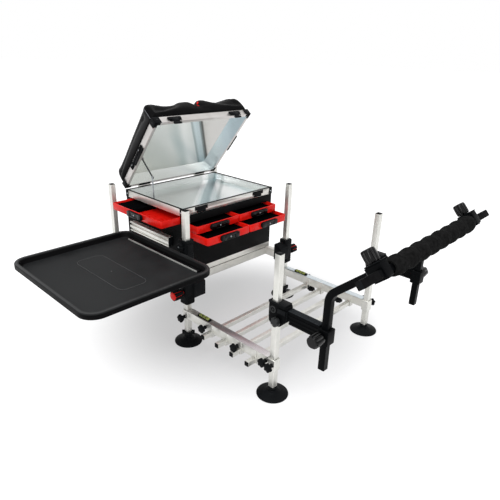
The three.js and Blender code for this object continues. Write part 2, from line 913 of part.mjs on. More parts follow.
function rippleFoam() {
  const sidesRound = 22;
  const steps = 4;
  const half = foamLength / 2;
  const middle = (foamCrest + foamValley) / 2;
  const swing = (foamCrest - foamValley) / 2;
  const rings = Array.from({ length: foamRipples * steps + 1 }, (_, i) => {
    const share = i / (foamRipples * steps);
    const radius = middle - swing * Math.cos(2 * Math.PI * foamRipples * share);
    const x = -half + foamLength * share;
    return circle(radius, sidesRound, ...rollCentre).map(([y, z]) => [x, y, z]);
  });
  const boreSides = 16;
  const snug = Math.hypot(rollBarSide / 2, rollBarSide / 2 - legCorner) + seat;
  const hole = circle(snug / Math.cos(Math.PI / boreSides), boreSides, ...rollCentre);
  return build([loft(rings)], [prism(hole, 'x', [-half - overrun, half + overrun])]);
}

const rollBar = prism(
  chamferedSquare(rollBarSide, legCorner, ...rollCentre),
  'x',
  [-rollBarLength / 2, rollBarLength / 2],
);
add('roll_bar', rollBar, blackMetal, roll);
add('ripple_foam', rippleFoam(), foam, roll);

// Side tray and the clamp that carries it on the front left leg
function trayOutline(inset) {
  const outer = -(trayInner + trayWidth) + inset;
  const inner = -trayInner - inset;
  const y = [-trayFront + inset, trayLength - trayFront - inset];
  return roundedRectangle([outer, inner], y, Math.max(trayCorner - inset, traySheet), 4);
}

function pan(top, bottom, inset) {
  const level = (extra, z) => trayOutline(inset + extra).map(([x, y]) => [x, y, z]);
  return loft([level(traySlope, bottom), level(0, top)]);
}

function sideTray() {
  const floor = trayTop - trayDepth;
  const rim = build(
    [prism(trayOutline(0), 'z', [trayTop - traySkirt, trayTop])],
    [prism(trayOutline(traySheet), 'z', [trayTop - traySkirt - overrun, trayTop - traySheet])],
  );
  const shell = build(
    [rim, pan(trayTop - traySheet / 2, trayLevel, trayRim - traySheet)],
    [pan(trayTop + seat, floor, trayRim)],
  );
  const edge = -trayInner - trayRim;
  const ledge = block(
    [edge - traySlope - trayLedgeWidth, edge + traySheet / 2],
    [trayCorner - trayFront, trayLength - trayFront - trayCorner],
    [floor - traySheet / 2, trayTop - trayLedge],
  );
  const centre = [-trayInner - trayWidth / 2, trayLength / 2 - trayFront];
  const panel = prism(roundedRectangle(
    [centre[0] - trayPanelWidth / 2, centre[0] + trayPanelWidth / 2],
    [centre[1] - trayPanelLength / 2, centre[1] + trayPanelLength / 2],
    trayPanelCorner,
    3,
  ), 'z', [floor - traySheet / 2, floor + trayPanelRise]);
  return build([shell, ledge, panel]);
}

function trayClamp() {
  const armTopLevel = trayLevel - seat;
  const armBottomLevel = armTopLevel - trayArmSide;
  const x = [-legX - trayClampWidth / 2, -legX + trayClampWidth / 2];
  const y = [-trayClampLength / 2, trayClampLength / 2];
  const z = [armBottomLevel - hoopWall, trayClampTop];
  return build(
    [
      prism(chamferedRectangle(x, y, trayClampCorner), 'z', z, legCorner),
      block(
        [-legX - trayArmLength, x[0] + traySheet],
        [-trayArmSide / 2, trayArmSide / 2],
        [armBottomLevel, armTopLevel],
      ),
    ],
    [legBore(-legX, 0, z)],
  );
}

add('side_tray', sideTray(), blackPlastic);
add('tray_clamp', trayClamp(), blackPlastic);

// Lid, built closed with its hinge at the origin, then opened about the hinge.
// Its own -y runs to the front edge and its own z is the height above the seal.
const lid = new THREE.Group();
lid.position.set(0, hingeY, hingeHeight);
lid.rotation.x = -THREE.MathUtils.degToRad(lidOpening);
model.add(lid);

const lidFront = boxSetback - hingeY;
const lidRear = -hingeSetback;
const recessTop = lidHeight - lidRoof;
const linkX = [stayX, stayX + stayWall];
const upperLinkX = linkX.map((x) => x + stayWall + seat);
const tabX = [upperLinkX[1] + seat, upperLinkX[1] + seat + stayTabWall];

function lidShell() {
  const recess = [
    block(
      [-halfWidth + lidWall, halfWidth - lidWall],
      [lidFront + lidWall, lidRear - lidWall],
      [-overrun, recessTop],
    ),
  ];
  const band = build([block([-halfWidth, halfWidth], [lidFront, lidRear], [seat, lidHeight])], recess);
  const y = -stayLidReach;
  const half = stayTabWidth / 2;
  const joined = [
    band,
    block(tabX, [y - half, y + half], [stayLidRise - half, recessTop + lidRoof / 2]),
    prism(circle(stayStud, 10, y, stayLidRise), 'x', [upperLinkX[0], tabX[0] + stayTabWall / 2]),
  ];
  for (const side of [-1, 1]) {
    const centre = side * hingeSpacing / 2;
    const x = [centre - hingeMiddle / 2, centre + hingeMiddle / 2];
    joined.push(prism(circle(hingeRadius, 12), 'x', x));
    joined.push(block(x, [lidRear - lidWall / 2, hingeLeafWall - hingeRadius], [hingeRadius / 2, hingeLeaf]));
  }
  return build(joined);
}
add('lid_shell', lidShell(), aluminium, lid);

// Ring of a rounded rectangle with extra points along its straight sides
function padRing(inset) {
  const half = halfWidth + padOverhang - inset;
  const y0 = lidFront - padOverhang + inset;
  const y1 = lidRear + padOverhang - inset;
  const corners = roundedRectangle([-half, half], [y0, y1], Math.max(padCorner - inset, padDrawIn), 3);
  const across = 14;
  const along = 9;
  return corners.flatMap((point, i) => {
    if (i % 4 !== 3) return [point];
    const next = corners[(i + 1) % corners.length];
    const count = i % 8 === 3 ? across : along;
    return Array.from({ length: count }, (_, k) => {
      const share = k / count;
      return [point[0] + (next[0] - point[0]) * share, point[1] + (next[1] - point[1]) * share];
    });
  });
}

// Thickness of the pad: high at the rear, two lobes of two humps towards the front
function padThickness(x, y) {
  const forward = THREE.MathUtils.clamp((y - lidRear) / (lidFront - lidRear), 0, 1);
  const body = padRear + (padFront - padRear) * forward;
  const hump = Math.cos(2 * Math.PI * (Math.abs(x) - padFirstHump) / padWaveLength);
  const seam = Math.exp(-((x / padSeamWidth) ** 2));
  return body + forward * (padWave * hump - padSeamDepth * seam);
}

function seatPad() {
  const insetShares = [1, 0.2, 0, 0.6, 1.8, 4, 9, 16, 24, 30];
  const heightShares = [0, 0.18, 0.42, 0.68, 0.85, 0.95, 1, 1.02, 1.03, 1.03];
  const bottom = lidHeight + seat;
  return loft(insetShares.map((share, i) => padRing(share * padDrawIn)
    .map(([x, y]) => [x, y, bottom + heightShares[i] * padThickness(x, y)])));
}
add('seat_pad', seatPad(), leather, lid);

// Latches on the lid's front face, hooked over the keepers on the rim
for (const [name, side] of Object.entries(sides)) {
  const centre = side * latchSpacing / 2;
  const face = lidFront - seat;
  const outer = face - latchDepth;
  const profile = [
    [outer, -latchDrop], [face - latchFoot, -latchDrop],
    [face - latchFoot, latchRise - 3 * latchPivot - latchChamfer],
    [face, latchRise - 2 * latchPivot - latchChamfer], [face, latchRise - latchChamfer],
    [face - latchChamfer, latchRise], [outer + latchChamfer, latchRise], [outer, latchRise - latchChamfer],
  ];
  const x = [centre - latchWidth / 2, centre + latchWidth / 2];
  add(`lid_latch_${name}`, prism(profile, 'x', x), blackPlastic, lid);
}

// Folding stay on the left: one link turns on the tub's stud, the other on the
// lid's stud, and their free ends lie side by side at the knee
function link(length, x, holeAt) {
  const solids = [
    block(x, [0, length], [-stayWidth / 2, stayWidth / 2]),
    prism(circle(stayHead, 14), 'x', x),
    prism(circle(stayHead, 14, length, 0), 'x', x),
  ];
  const hole = circle(stayStud + seat, 12, holeAt, 0);
  return build(solids, [prism(hole, 'x', [x[0] - overrun, x[1] + overrun])]);
}

const opening = THREE.MathUtils.degToRad(lidOpening);
const staySpan = new THREE.Vector2(
  stayBoxReach - stayLidReach * Math.cos(opening) + stayLidRise * Math.sin(opening),
  stayBoxDrop + stayLidReach * Math.sin(opening) + stayLidRise * Math.cos(opening),
);
const stayKnee = Math.acos(
  (stayLower ** 2 + staySpan.lengthSq() - stayUpper ** 2) / (2 * stayLower * staySpan.length()),
);
const stayFold = Math.acos(
  (stayLower ** 2 + stayUpper ** 2 - staySpan.lengthSq()) / (2 * stayLower * stayUpper),
);
const stay = new THREE.Group();
stay.position.set(0, hingeY - stayBoxReach, hingeHeight - stayBoxDrop);
stay.rotation.x = staySpan.angle() + stayKnee;
model.add(stay);
add('stay_lower', link(stayLower, linkX, 0), zinc, stay);
const upperLink = add('stay_upper', link(stayUpper, upperLinkX, stayUpper), zinc, stay);
upperLink.position.y = stayLower;
upperLink.rotation.x = stayFold - Math.PI;

// Centre the model over its own footprint
model.updateMatrixWorld(true);
const bounds = new THREE.Box3().setFromObject(model, true);
const middle = bounds.getCenter(new THREE.Vector3());
model.position.set(-middle.x, -middle.y, -bounds.min.z);

export default model;
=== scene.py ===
# %% [markdown]
# # Dressing a match angler's seat box
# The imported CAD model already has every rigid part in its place: the box and its
# open lid, five drawers, six legs, the footplate, the side tray and the bump bar.
# This lesson gives those parts their finishes, rounds their edges, and adds what
# a plain solid can't show: the padded seat, the foam roll, knobs, plugs and trim.

# %% Load the frame
import math

import bmesh
import bpy
from mathutils import Matrix, Vector, noise
from mathutils.bvhtree import BVHTree


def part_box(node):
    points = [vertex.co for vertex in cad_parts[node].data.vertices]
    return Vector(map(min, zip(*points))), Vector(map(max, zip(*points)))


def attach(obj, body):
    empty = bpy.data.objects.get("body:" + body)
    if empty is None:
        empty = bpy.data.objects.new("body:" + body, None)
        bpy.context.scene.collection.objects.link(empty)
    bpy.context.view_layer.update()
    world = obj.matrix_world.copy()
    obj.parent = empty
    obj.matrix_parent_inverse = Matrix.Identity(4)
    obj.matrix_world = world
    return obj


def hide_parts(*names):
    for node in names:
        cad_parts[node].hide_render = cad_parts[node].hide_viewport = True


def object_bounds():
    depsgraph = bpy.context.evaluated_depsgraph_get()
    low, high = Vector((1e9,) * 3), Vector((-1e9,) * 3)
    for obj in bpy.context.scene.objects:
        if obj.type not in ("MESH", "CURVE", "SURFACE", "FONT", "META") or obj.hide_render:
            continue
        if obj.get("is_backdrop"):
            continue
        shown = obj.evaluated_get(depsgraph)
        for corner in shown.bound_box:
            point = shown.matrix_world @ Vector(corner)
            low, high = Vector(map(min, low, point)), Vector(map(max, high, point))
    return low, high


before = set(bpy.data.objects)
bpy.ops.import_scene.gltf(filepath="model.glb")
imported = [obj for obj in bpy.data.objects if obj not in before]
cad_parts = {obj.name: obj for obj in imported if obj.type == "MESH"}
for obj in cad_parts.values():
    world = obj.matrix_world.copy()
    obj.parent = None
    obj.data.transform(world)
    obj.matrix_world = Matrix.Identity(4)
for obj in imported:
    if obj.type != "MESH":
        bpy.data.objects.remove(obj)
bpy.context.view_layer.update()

# %% [markdown]
# Everything is measured from the seat box itself. Its middle plane, the plane of
# its front legs and the ground are the three zeros, and lengths are millimetres.
# The lid and the foam roll lean, so each has a frame of its own, which turns
# plain upright numbers into leaning ones. The outer faces of the box and of the
# lid's band carry most of the trim, so their places have names.

# %% Frames to build in
MM = 0.001
core_low, core_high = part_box("cabinet_core")
leg_low, leg_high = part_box("leg_box_front_left")
ORIGIN = Vector(((core_low.x + core_high.x) / 2, (leg_low.y + leg_high.y) / 2, 0))
LID_OPENING = 51
BUMP_LEAN = 49
UPRIGHT_Y, UPRIGHT_BEND_Z = -567.4, 405.5


def frame_at(x, y, z, lean=0):
    place = Matrix.Translation(ORIGIN + Vector((x, y, z)) * MM)
    return place @ Matrix.Rotation(math.radians(lean), 4, "X") @ Matrix.Scale(MM, 4)


BOX = frame_at(0, 0, 0)
LID = frame_at(0, 401.9, 468.8, -LID_OPENING)
ROLL = frame_at(0, UPRIGHT_Y, UPRIGHT_BEND_Z, BUMP_LEAN)
SIDES = {"left": -1, "right": 1}
ENDS = {"front": 0, "rear": 437.5}
LEG_X = 260.3
BOX_HALF, BOX_FRONT, BOX_REAR = 225, 59.4, 397.4
LID_FRONT, LID_REAR = -342.5, -4.5
print("middle of the box at", [round(v, 4) for v in ORIGIN])

# %% [markdown]
# The camera stands where the photographer's did: the angles and the focal length
# come from a fit of the box's corners to the photograph. The light is a white
# studio. An even world fills every shadow and two wide lamps give it a soft
# direction. The backdrop is white, and round the object the floor carries a painted
# shadow of pale grey. Both are seen that way by camera, glossy and transmission rays
# alone, through Light Path, so that neither throws more light on the object.

# %% Camera
EYE = (-0.9934, -1.019777, 0.9554)
YAW, PITCH, ROLL_ANGLE = (math.radians(v) for v in (46.6199, 22.7374, -1.6103))
FOCAL_PIXELS = 473.769
PRINCIPAL = (248.25, 251.75)
FRAME_PIXELS = 500
SENSOR_WIDTH = 36

forward = Vector((math.sin(YAW) * math.cos(PITCH), math.cos(YAW) * math.cos(PITCH),
                  -math.sin(PITCH)))
level_right = Vector((math.cos(YAW), -math.sin(YAW), 0))
level_down = forward.cross(level_right)
right = math.cos(ROLL_ANGLE) * level_right + math.sin(ROLL_ANGLE) * level_down
down = forward.cross(right)
camera_data = bpy.data.cameras.new("studio_camera")
camera_data.sensor_width = SENSOR_WIDTH
camera_data.lens = FOCAL_PIXELS / FRAME_PIXELS * camera_data.sensor_width
camera_data.shift_x = (FRAME_PIXELS / 2 - PRINCIPAL[0]) / FRAME_PIXELS
camera_data.shift_y = (PRINCIPAL[1] - FRAME_PIXELS / 2) / FRAME_PIXELS
camera = bpy.data.objects.new("studio_camera", camera_data)
turn = Matrix((right, -down, -forward)).transposed()
camera.matrix_world = Matrix.Translation(EYE) @ turn.to_4x4()
bpy.context.scene.collection.objects.link(camera)
bpy.context.scene.camera = camera
bpy.context.scene.view_settings.view_transform = "Standard"
print("lens", round(camera_data.lens, 2), "mm")


# %% [markdown]
# Two small helpers carry all the materials: one turns a hex colour into the
# linear values that shaders want, and one adds a node with its settings and
# its links.

# %% Colour and node helpers
def linear(code):
    parts = [int(code[i:i + 2], 16) / 255 for i in (1, 3, 5)]
    return (*[p / 12.92 if p <= 0.04045 else ((p + 0.055) / 1.055) ** 2.4 for p in parts], 1.0)


def node(tree, kind, inputs=None, **settings):
    made = tree.nodes.new(kind)
    for key, value in settings.items():
        setattr(made, key, value)
    for key, value in (inputs or {}).items():
        if isinstance(value, bpy.types.NodeSocket):
            tree.links.new(value, made.inputs[key])
        else:
            made.inputs[key].default_value = value
    return made


print("mid grey is", [round(v, 3) for v in linear("#808080")])


# %% World and lamps
AMBIENT = 0.72


def seen_directly(tree):
    """One for rays from the camera, a mirror or glass, and zero for the rays that light the object."""
    rays = node(tree, "ShaderNodeLightPath").outputs
    seen = node(tree, "ShaderNodeMath", {0: rays["Is Camera Ray"], 1: rays["Is Glossy Ray"]}, operation="MAXIMUM")
    return node(tree, "ShaderNodeMath", {0: seen.outputs[0], 1: rays["Is Transmission Ray"]},
                operation="MAXIMUM").outputs[0]


world = bpy.data.worlds.new("white_studio")
bpy.context.scene.world = world
world.use_nodes = True
tree = world.node_tree
tree.nodes.clear()
level = node(tree, "ShaderNodeMapRange", {"Value": seen_directly(tree), "To Min": AMBIENT, "To Max": 1.0})
sky = node(tree, "ShaderNodeBackground", {"Color": linear("#FFFFFF"), "Strength": level.outputs[0]})
node(tree, "ShaderNodeOutputWorld", {"Surface": sky.outputs[0]})


def lamp(name, place, aim, size, power):
    data = bpy.data.lights.new(name, "AREA")
    data.shape = "DISK"
    data.size = size
    data.energy = power
    made = bpy.data.objects.new(name, data)
    made.location = place
    made.rotation_euler = (Vector(aim) - Vector(place)).to_track_quat("-Z", "Y").to_euler()
    bpy.context.scene.collection.objects.link(made)
    return made


lamp("soft_overhead", (-1.2, -0.6, 3.2), (0.1, 0.0, 0.2), 2.6, 42)
strip_light = lamp("strip_front", (-2.9, -1.5, 1.9), (0.0, 0.0, 0.3), 0.34, 17)
strip_light.data.shape = "RECTANGLE"
strip_light.data.size_y = 2.2
print("lamps:", [light.name for light in bpy.data.lights])

# %% Floor
# The grey round the object is a painted shadow: an ellipse of darker colour and weaker glow about the box.
FLOOR_HALF = 40.0
PAINTED_SHADOW_MIDDLE = (0.19, 0.12, 0.0)
PAINTED_SHADOW_REACH = (0.74, 0.76)
PAINTED_SHADOW_FULL, PAINTED_SHADOW_GONE = 0.35, 1.0
PAINTED_SHADOW_LIFT = 0.45
floor_mesh = bpy.data.meshes.new("studio_floor")
corners = [(-1, -1), (1, -1), (1, 1), (-1, 1)]
floor_mesh.from_pydata([(x * FLOOR_HALF, y * FLOOR_HALF, 0) for x, y in corners], [], [(0, 1, 2, 3)])
floor = bpy.data.objects.new("studio_floor", floor_mesh)
bpy.context.scene.collection.objects.link(floor)
paper = bpy.data.materials.new("backdrop_paper_painted_shadow")
paper.use_nodes = True
tree = paper.node_tree
tree.nodes.clear()
seen = seen_directly(tree)
place = node(tree, "ShaderNodeTexCoord")
from_middle = node(tree, "ShaderNodeVectorMath", {0: place.outputs["Object"], 1: PAINTED_SHADOW_MIDDLE},
                   operation="SUBTRACT")
shrink = (1 / PAINTED_SHADOW_REACH[0], 1 / PAINTED_SHADOW_REACH[1], 1.0)
in_reach = node(tree, "ShaderNodeVectorMath", {0: from_middle.outputs[0], 1: shrink}, operation="MULTIPLY")
away = node(tree, "ShaderNodeVectorMath", {0: in_reach.outputs[0]}, operation="LENGTH")
level = node(tree, "ShaderNodeMapRange", {"Value": away.outputs["Value"], "From Min": PAINTED_SHADOW_FULL,
                                          "From Max": PAINTED_SHADOW_GONE, "To Min": PAINTED_SHADOW_LIFT, "To Max": 1.0},
             interpolation_type="SMOOTHSTEP")
lift = node(tree, "ShaderNodeMath", {0: seen, 1: level.outputs[0]}, operation="MULTIPLY")
# Rays that see the floor get a darker grey near the object: the painted shadow.
shade = node(tree, "ShaderNodeMix", {"Factor": seen}, data_type="RGBA")
shade.inputs["A"].default_value, shade.inputs["B"].default_value = linear("#E8E8E8"), linear("#929294")
matte = node(tree, "ShaderNodeBsdfDiffuse", {"Color": shade.outputs["Result"]})
glow = node(tree, "ShaderNodeEmission", {"Color": linear("#FFFFFF"), "Strength": lift.outputs[0]})
both = node(tree, "ShaderNodeAddShader", {0: matte.outputs[0], 1: glow.outputs[0]})
node(tree, "ShaderNodeOutputMaterial", {"Surface": both.outputs[0]})
floor_mesh.materials.append(paper)
floor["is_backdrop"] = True
print("studio ready")


# %% [markdown]
# A Principled shader with Object coordinates is the start of each finish. Object
# coordinates are metres here, so a pattern's scale is one over its real size.

# %% Starting point of a finish
def finish(name, colour, roughness, metallic=0.0, specular=0.5, **sockets):
    material = bpy.data.materials.new(name)
    material.use_nodes = True
    tree = material.node_tree
    tree.nodes.clear()
    shader = node(tree, "ShaderNodeBsdfPrincipled", {
        "Base Color": linear(colour), "Roughness": roughness, "Metallic": metallic,
        "Specular IOR Level": specular, **sockets,
    })
    node(tree, "ShaderNodeOutputMaterial", {"Surface": shader.outputs[0]})
    place = node(tree, "ShaderNodeTexCoord")
    return material, tree, shader, place.outputs["Object"]


def shades(tree, value, dark, light, low=0.3, high=0.7):
    ramp = node(tree, "ShaderNodeValToRGB", {"Fac": value})
    ramp.color_ramp.elements[0].position, ramp.color_ramp.elements[1].position = low, high
    ramp.color_ramp.elements[0].color, ramp.color_ramp.elements[1].color = linear(dark), linear(light)
    return ramp.outputs["Color"]


def bump(tree, shader, height, millimetres, strength=1.0):
    made = node(tree, "ShaderNodeBump", {"Height": height, "Distance": millimetres * MM, "Strength": strength})
    tree.links.new(made.outputs[0], shader.inputs["Normal"])


def per_mm(size):
    return 1 / (size * MM)


print("a 2 mm grain has the scale", per_mm(2))

# %% [markdown]
# Legs, rails and bars are extruded aluminium with a clear satin anodised skin.
# The die leaves faint lines along each extrusion, so the noise is stretched a
# hundred times along the bar. Real die lines are about 0.2 mm apart; they are
# drawn 0.9 mm apart here, so that they show at this size.

# %% Anodised aluminium
def anodised_aluminium(direction, dark="#D8D8D2", light="#E7E6E1", name="anodised_aluminium"):
    material, tree, shader, place = finish(f"{name}_{direction}", light, 0.38, 0.72)
    fine, long = per_mm(0.9), per_mm(110)
    scale = [long if axis == direction else fine for axis in "xyz"]
    stretched = node(tree, "ShaderNodeMapping", {"Vector": place, "Scale": scale})
    lines = node(tree, "ShaderNodeTexNoise", {"Vector": stretched.outputs[0], "Scale": 1.0, "Detail": 3.0})
    cloud = node(tree, "ShaderNodeTexNoise", {"Vector": place, "Scale": per_mm(45), "Detail": 3.0})
    rough = node(tree, "ShaderNodeMapRange", {"Value": lines.outputs[0], "From Min": 0.3, "From Max": 0.7,
                                              "To Min": 0.3, "To Max": 0.44})
    tree.links.new(rough.outputs[0], shader.inputs["Roughness"])
    tree.links.new(shades(tree, cloud.outputs[0], dark, light), shader.inputs["Base Color"])
    bump(tree, shader, lines.outputs[0], 0.03, 0.5)
    return material


ALUMINIUM = {axis: anodised_aluminium(axis) for axis in "xyz"}
LID_ALUMINIUM = anodised_aluminium("x", "#C4C0BD", "#D0CDCB", "silver_anodised_lid_band")
print("extrusions are", ", ".join(m.name for m in (*ALUMINIUM.values(), LID_ALUMINIUM)))

# %% [markdown]
# The tub and the lid's inside are bright rolled aluminium sheet. Soft pale and
# dark bands are painted across it as painted reflections, and a very fine grain
# runs along the bands. Each sheet has its own list of painted reflection bands:
# how far across it each one lies, and its shade. The stay, the latch pins and the
# screws are zinc plated steel, which shows small crystals of about 3.5 mm.

# %% Bright sheet
def sheet_with_painted_reflections(name, start, across, bands, metallic=1.0):
    material, tree, shader, place = finish(name, "#D8DBDA", 0.24, metallic)
    wobble = node(tree, "ShaderNodeTexNoise", {"Vector": place, "Scale": per_mm(160), "Detail": 1.0})
    reach = node(tree, "ShaderNodeVectorMath", {0: place, 1: start}, operation="SUBTRACT")
    share = node(tree, "ShaderNodeVectorMath", {0: reach.outputs[0], 1: across}, operation="DOT_PRODUCT")
    bent = node(tree, "ShaderNodeMath", {0: wobble.outputs[0], 1: 0.012, 2: share.outputs["Value"]},
                operation="MULTIPLY_ADD")
    bent = node(tree, "ShaderNodeMath", {0: bent.outputs[0], 1: -0.006}, operation="ADD")
    # The ramp's bands are painted reflections laid across the sheet.
    ramp = node(tree, "ShaderNodeValToRGB", {"Fac": bent.outputs[0]})
    ramp.color_ramp.interpolation = "EASE"
    stops = ramp.color_ramp.elements
    while len(stops) < len(bands):
        stops.new(0.5)
    for stop, (position, _) in zip(stops, bands):
        stop.position = position
    for stop, (_, shade) in zip(stops, bands):
        stop.color = linear(shade)
    tree.links.new(ramp.outputs["Color"], shader.inputs["Base Color"])
    grain = node(tree, "ShaderNodeTexNoise", {"Vector": place, "Scale": per_mm(1.2), "Detail": 2.0})
    rough = node(tree, "ShaderNodeMapRange", {"Value": grain.outputs[0], "From Min": 0.35, "From Max": 0.65,
                                              "To Min": 0.26, "To Max": 0.36})
    tree.links.new(rough.outputs[0], shader.inputs["Roughness"])
    bump(tree, shader, grain.outputs[0], 0.02, 0.3)
    return material


print("a sheet's grain is 1.2 mm wide, which gives the scale", round(per_mm(1.2)))


# %% Zinc plate
def zinc_plate(name, dark, light):
    material, tree, shader, place = finish(name, dark, 0.3, 1.0)
    spangle = node(tree, "ShaderNodeTexVoronoi", {"Vector": place, "Scale": per_mm(3.5)})
    tree.links.new(shades(tree, spangle.outputs["Color"], dark, light, 0.1, 0.9), shader.inputs["Base Color"])
    rough = node(tree, "ShaderNodeMapRange", {"Value": spangle.outputs["Distance"], "To Min": 0.22, "To Max": 0.4})
    tree.links.new(rough.outputs[0], shader.inputs["Roughness"])
    return material


ZINC = zinc_plate("zinc_plated_steel", "#C3CDD3", "#DCE2E5")
BLACK_ZINC = zinc_plate("black_zinc_plated_steel", "#2B2C2E", "#3C3D40")
DULL_ZINC = zinc_plate("dull_zinc_plated_steel", "#84888B", "#A3A7AA")
print("zinc plates:", ", ".join(m.name for m in (ZINC, BLACK_ZINC, DULL_ZINC)))

# %% Painted reflection bands of the lid, the tub and the rail strip
LID_CORNER = tuple(LID @ Vector((-213, -16.5, 22)))
LID_ALONG = (LID.to_3x3() @ Vector((0, 1, 0))).normalized()
LID_ACROSS = (Vector((1, 0, 0)) - 0.66 * LID_ALONG) * per_mm(657.7)
LID_REFLECTION_BANDS = [(0.0, "#FCFBF6"), (0.293, "#FEFDF8"), (0.361, "#FFFDF8"), (0.435, "#DDE3E0"), (0.489, "#F8F9F7"),
             (0.54, "#ECEEEC"), (0.552, "#AEBABC"), (0.57, "#D4E0E4"), (0.598, "#CBD8DC"), (0.613, "#7F8889"),
             (0.626, "#565652"), (0.64, "#C3C2BE"), (0.78, "#BEBDBA"), (1.0, "#C2C5C6")]
EDGE_REFLECTION_BANDS = [(0.0, "#F0F0EC"), (0.45, "#E4E5E3"), (0.7, "#D3DEE1"), (0.8, "#C4D3D9"), (0.86, "#B4C5CB"),
              (1.0, "#B2C4CB")]
LID_SHEET = sheet_with_painted_reflections("rolled_sheet_lid_painted_reflections", LID_CORNER, tuple(LID_ACROSS), LID_REFLECTION_BANDS)
LID_EDGE = sheet_with_painted_reflections("rolled_sheet_edge_painted_reflections", LID_CORNER, tuple(LID_ACROSS), EDGE_REFLECTION_BANDS)
TUB_ACROSS = Vector((0.687, -0.727, 0.0))
TUB_REACH = 426 * TUB_ACROSS.x - 315 * TUB_ACROSS.y
TUB_REFLECTION_BANDS = [(0.0, "#D6D9D7"), (0.3, "#D3D7D5"), (0.46, "#DFE2E1"), (0.485, "#FFFFFF"), (0.505, "#FAFDFD"),
             (0.525, "#C6D0D2"), (0.565, "#B9C5C7"), (0.59, "#FFFFFF"), (0.61, "#F8FAF9"), (0.635, "#C3C9C8"),
             (0.66, "#F2F4F3"), (1.0, "#EFF2F1")]
SHEET = sheet_with_painted_reflections("rolled_sheet_tub_painted_reflections", tuple(BOX @ Vector((-213, 386, 0))),
                     tuple(TUB_ACROSS * per_mm(TUB_REACH)), TUB_REFLECTION_BANDS)
STRIP_REFLECTION_BANDS = [(0.0, "#B4B0AC"), (0.3, "#979391"), (0.48, "#918D8F"), (0.7, "#B2A8AC"), (0.88, "#C9C2C4"),
               (1.0, "#E9E7E5")]
STRIP = sheet_with_painted_reflections("aluminium_strip_painted_reflections", tuple(ORIGIN), (0, -per_mm(400), 0), STRIP_REFLECTION_BANDS, 0.55)
print("bright sheets with", len(LID_REFLECTION_BANDS), len(EDGE_REFLECTION_BANDS), len(TUB_REFLECTION_BANDS), "and", len(STRIP_REFLECTION_BANDS), "bands")

# %% [markdown]
# Brackets, knobs, pulls and feet are injection moulded ABS with a spark textured
# skin: small soft pits that scatter the highlight. The tray is formed from a sheet
# of the same plastic; its walls carry painted shade, so they look darker than its
# flats. The drawers are polished, in red. Lighter blacks and a pale grey are
# painted highlights on rims, edges and a ledge.

# %% Moulded plastics
def moulded_plastic(name, dark, light, roughness, pit, depth, specular=0.045):
    material, tree, shader, place = finish(name, dark, roughness, 0.0, specular)
    pits = node(tree, "ShaderNodeTexNoise", {"Vector": place, "Scale": per_mm(pit), "Detail": 4.0})
    rub = node(tree, "ShaderNodeTexNoise", {"Vector": place, "Scale": per_mm(70), "Detail": 5.0, "Roughness": 0.6})
    tree.links.new(shades(tree, rub.outputs[0], dark, light), shader.inputs["Base Color"])
    rough = node(tree, "ShaderNodeMapRange", {"Value": rub.outputs[0], "From Min": 0.3, "From Max": 0.7,
                                              "To Min": roughness - 0.06, "To Max": roughness + 0.08})
    tree.links.new(rough.outputs[0], shader.inputs["Roughness"])
    bump(tree, shader, pits.outputs[0], depth, 0.6)
    return material


def blend_by_place(material, colour, share_at):
    """Mixes a colour into a finish. share_at says how much of it, from the tree and the socket of X, Y and Z."""
    tree = material.node_tree
    shader = next(n for n in tree.nodes if n.type == "BSDF_PRINCIPLED")
    plain = shader.inputs["Base Color"].links[0].from_socket
    parts = node(tree, "ShaderNodeSeparateXYZ", {0: node(tree, "ShaderNodeTexCoord").outputs["Object"]})
    mixed = node(tree, "ShaderNodeMix", {"Factor": share_at(tree, parts.outputs)}, data_type="RGBA")
    tree.links.new(plain, mixed.inputs["A"])
    mixed.inputs["B"].default_value = linear(colour)
    tree.links.new(mixed.outputs["Result"], shader.inputs["Base Color"])


def distance_from(tree, value, middle):
    off = node(tree, "ShaderNodeMath", {0: value, 1: middle}, operation="SUBTRACT")
    return node(tree, "ShaderNodeMath", {0: off.outputs[0]}, operation="ABSOLUTE").outputs[0]


def wall_shade_share(low, high):
    """One on an upright wall between two heights, and zero on the flats above and below it."""
    middle, half = (low + high) / 2 * MM, (high - low) / 2 * MM

    def share(tree, parts):
        away = distance_from(tree, parts["Z"], middle)
        wall = node(tree, "ShaderNodeMapRange", {"Value": away, "From Min": half, "From Max": half * 0.75})
        return wall.outputs[0]
    return share


BLACK_ABS = moulded_plastic("spark_textured_black_abs", "#0E0F11", "#17191B", 0.42, 1.1, 0.10)
TRAY_ABS = moulded_plastic("vacuum_formed_black_abs", "#1D1E1F", "#292A2B", 0.46, 0.8, 0.08, 0.05)
GLOSS_ABS = moulded_plastic("polished_black_abs", "#040405", "#08080A", 0.17, 3.0, 0.02, 0.2)
# Painted shade: the tray's upright walls are darkened to near black.
blend_by_place(TRAY_ABS, "#060607", wall_shade_share(331.0, 348.0))
RED_ABS = moulded_plastic("polished_red_abs", "#E2150D", "#EE1D14", 0.28, 2.0, 0.02, 0.2)
PANEL = moulded_plastic("matt_black_panel", "#08090A", "#0E0F10", 0.5, 1.6, 0.03, 0.06)
# A lighter black gives a painted highlight on the tray's rim top and on the clamps' boss and knob.
HIGHLIGHT_BLACK_ABS = moulded_plastic("black_abs_painted_highlight", "#232425", "#323334", 0.36, 1.6, 0.03, 0.14)
# A grey black for a painted highlight along edges: the roll clamps' seams and the tray panel's border.
EDGE_HIGHLIGHT_ABS = moulded_plastic("black_abs_painted_edge_highlight", "#48494A", "#5E5F60", 0.5, 1.2, 0.03, 0.1)
# Pale grey for the painted highlight along the tray's ledge.
LEDGE_HIGHLIGHT_ABS = moulded_plastic("grey_abs_painted_highlight", "#8E8E8C", "#A9A9A6", 0.4, 0.9, 0.05, 0.4)
print("plastics:", sum("abs" in m.name for m in bpy.data.materials))

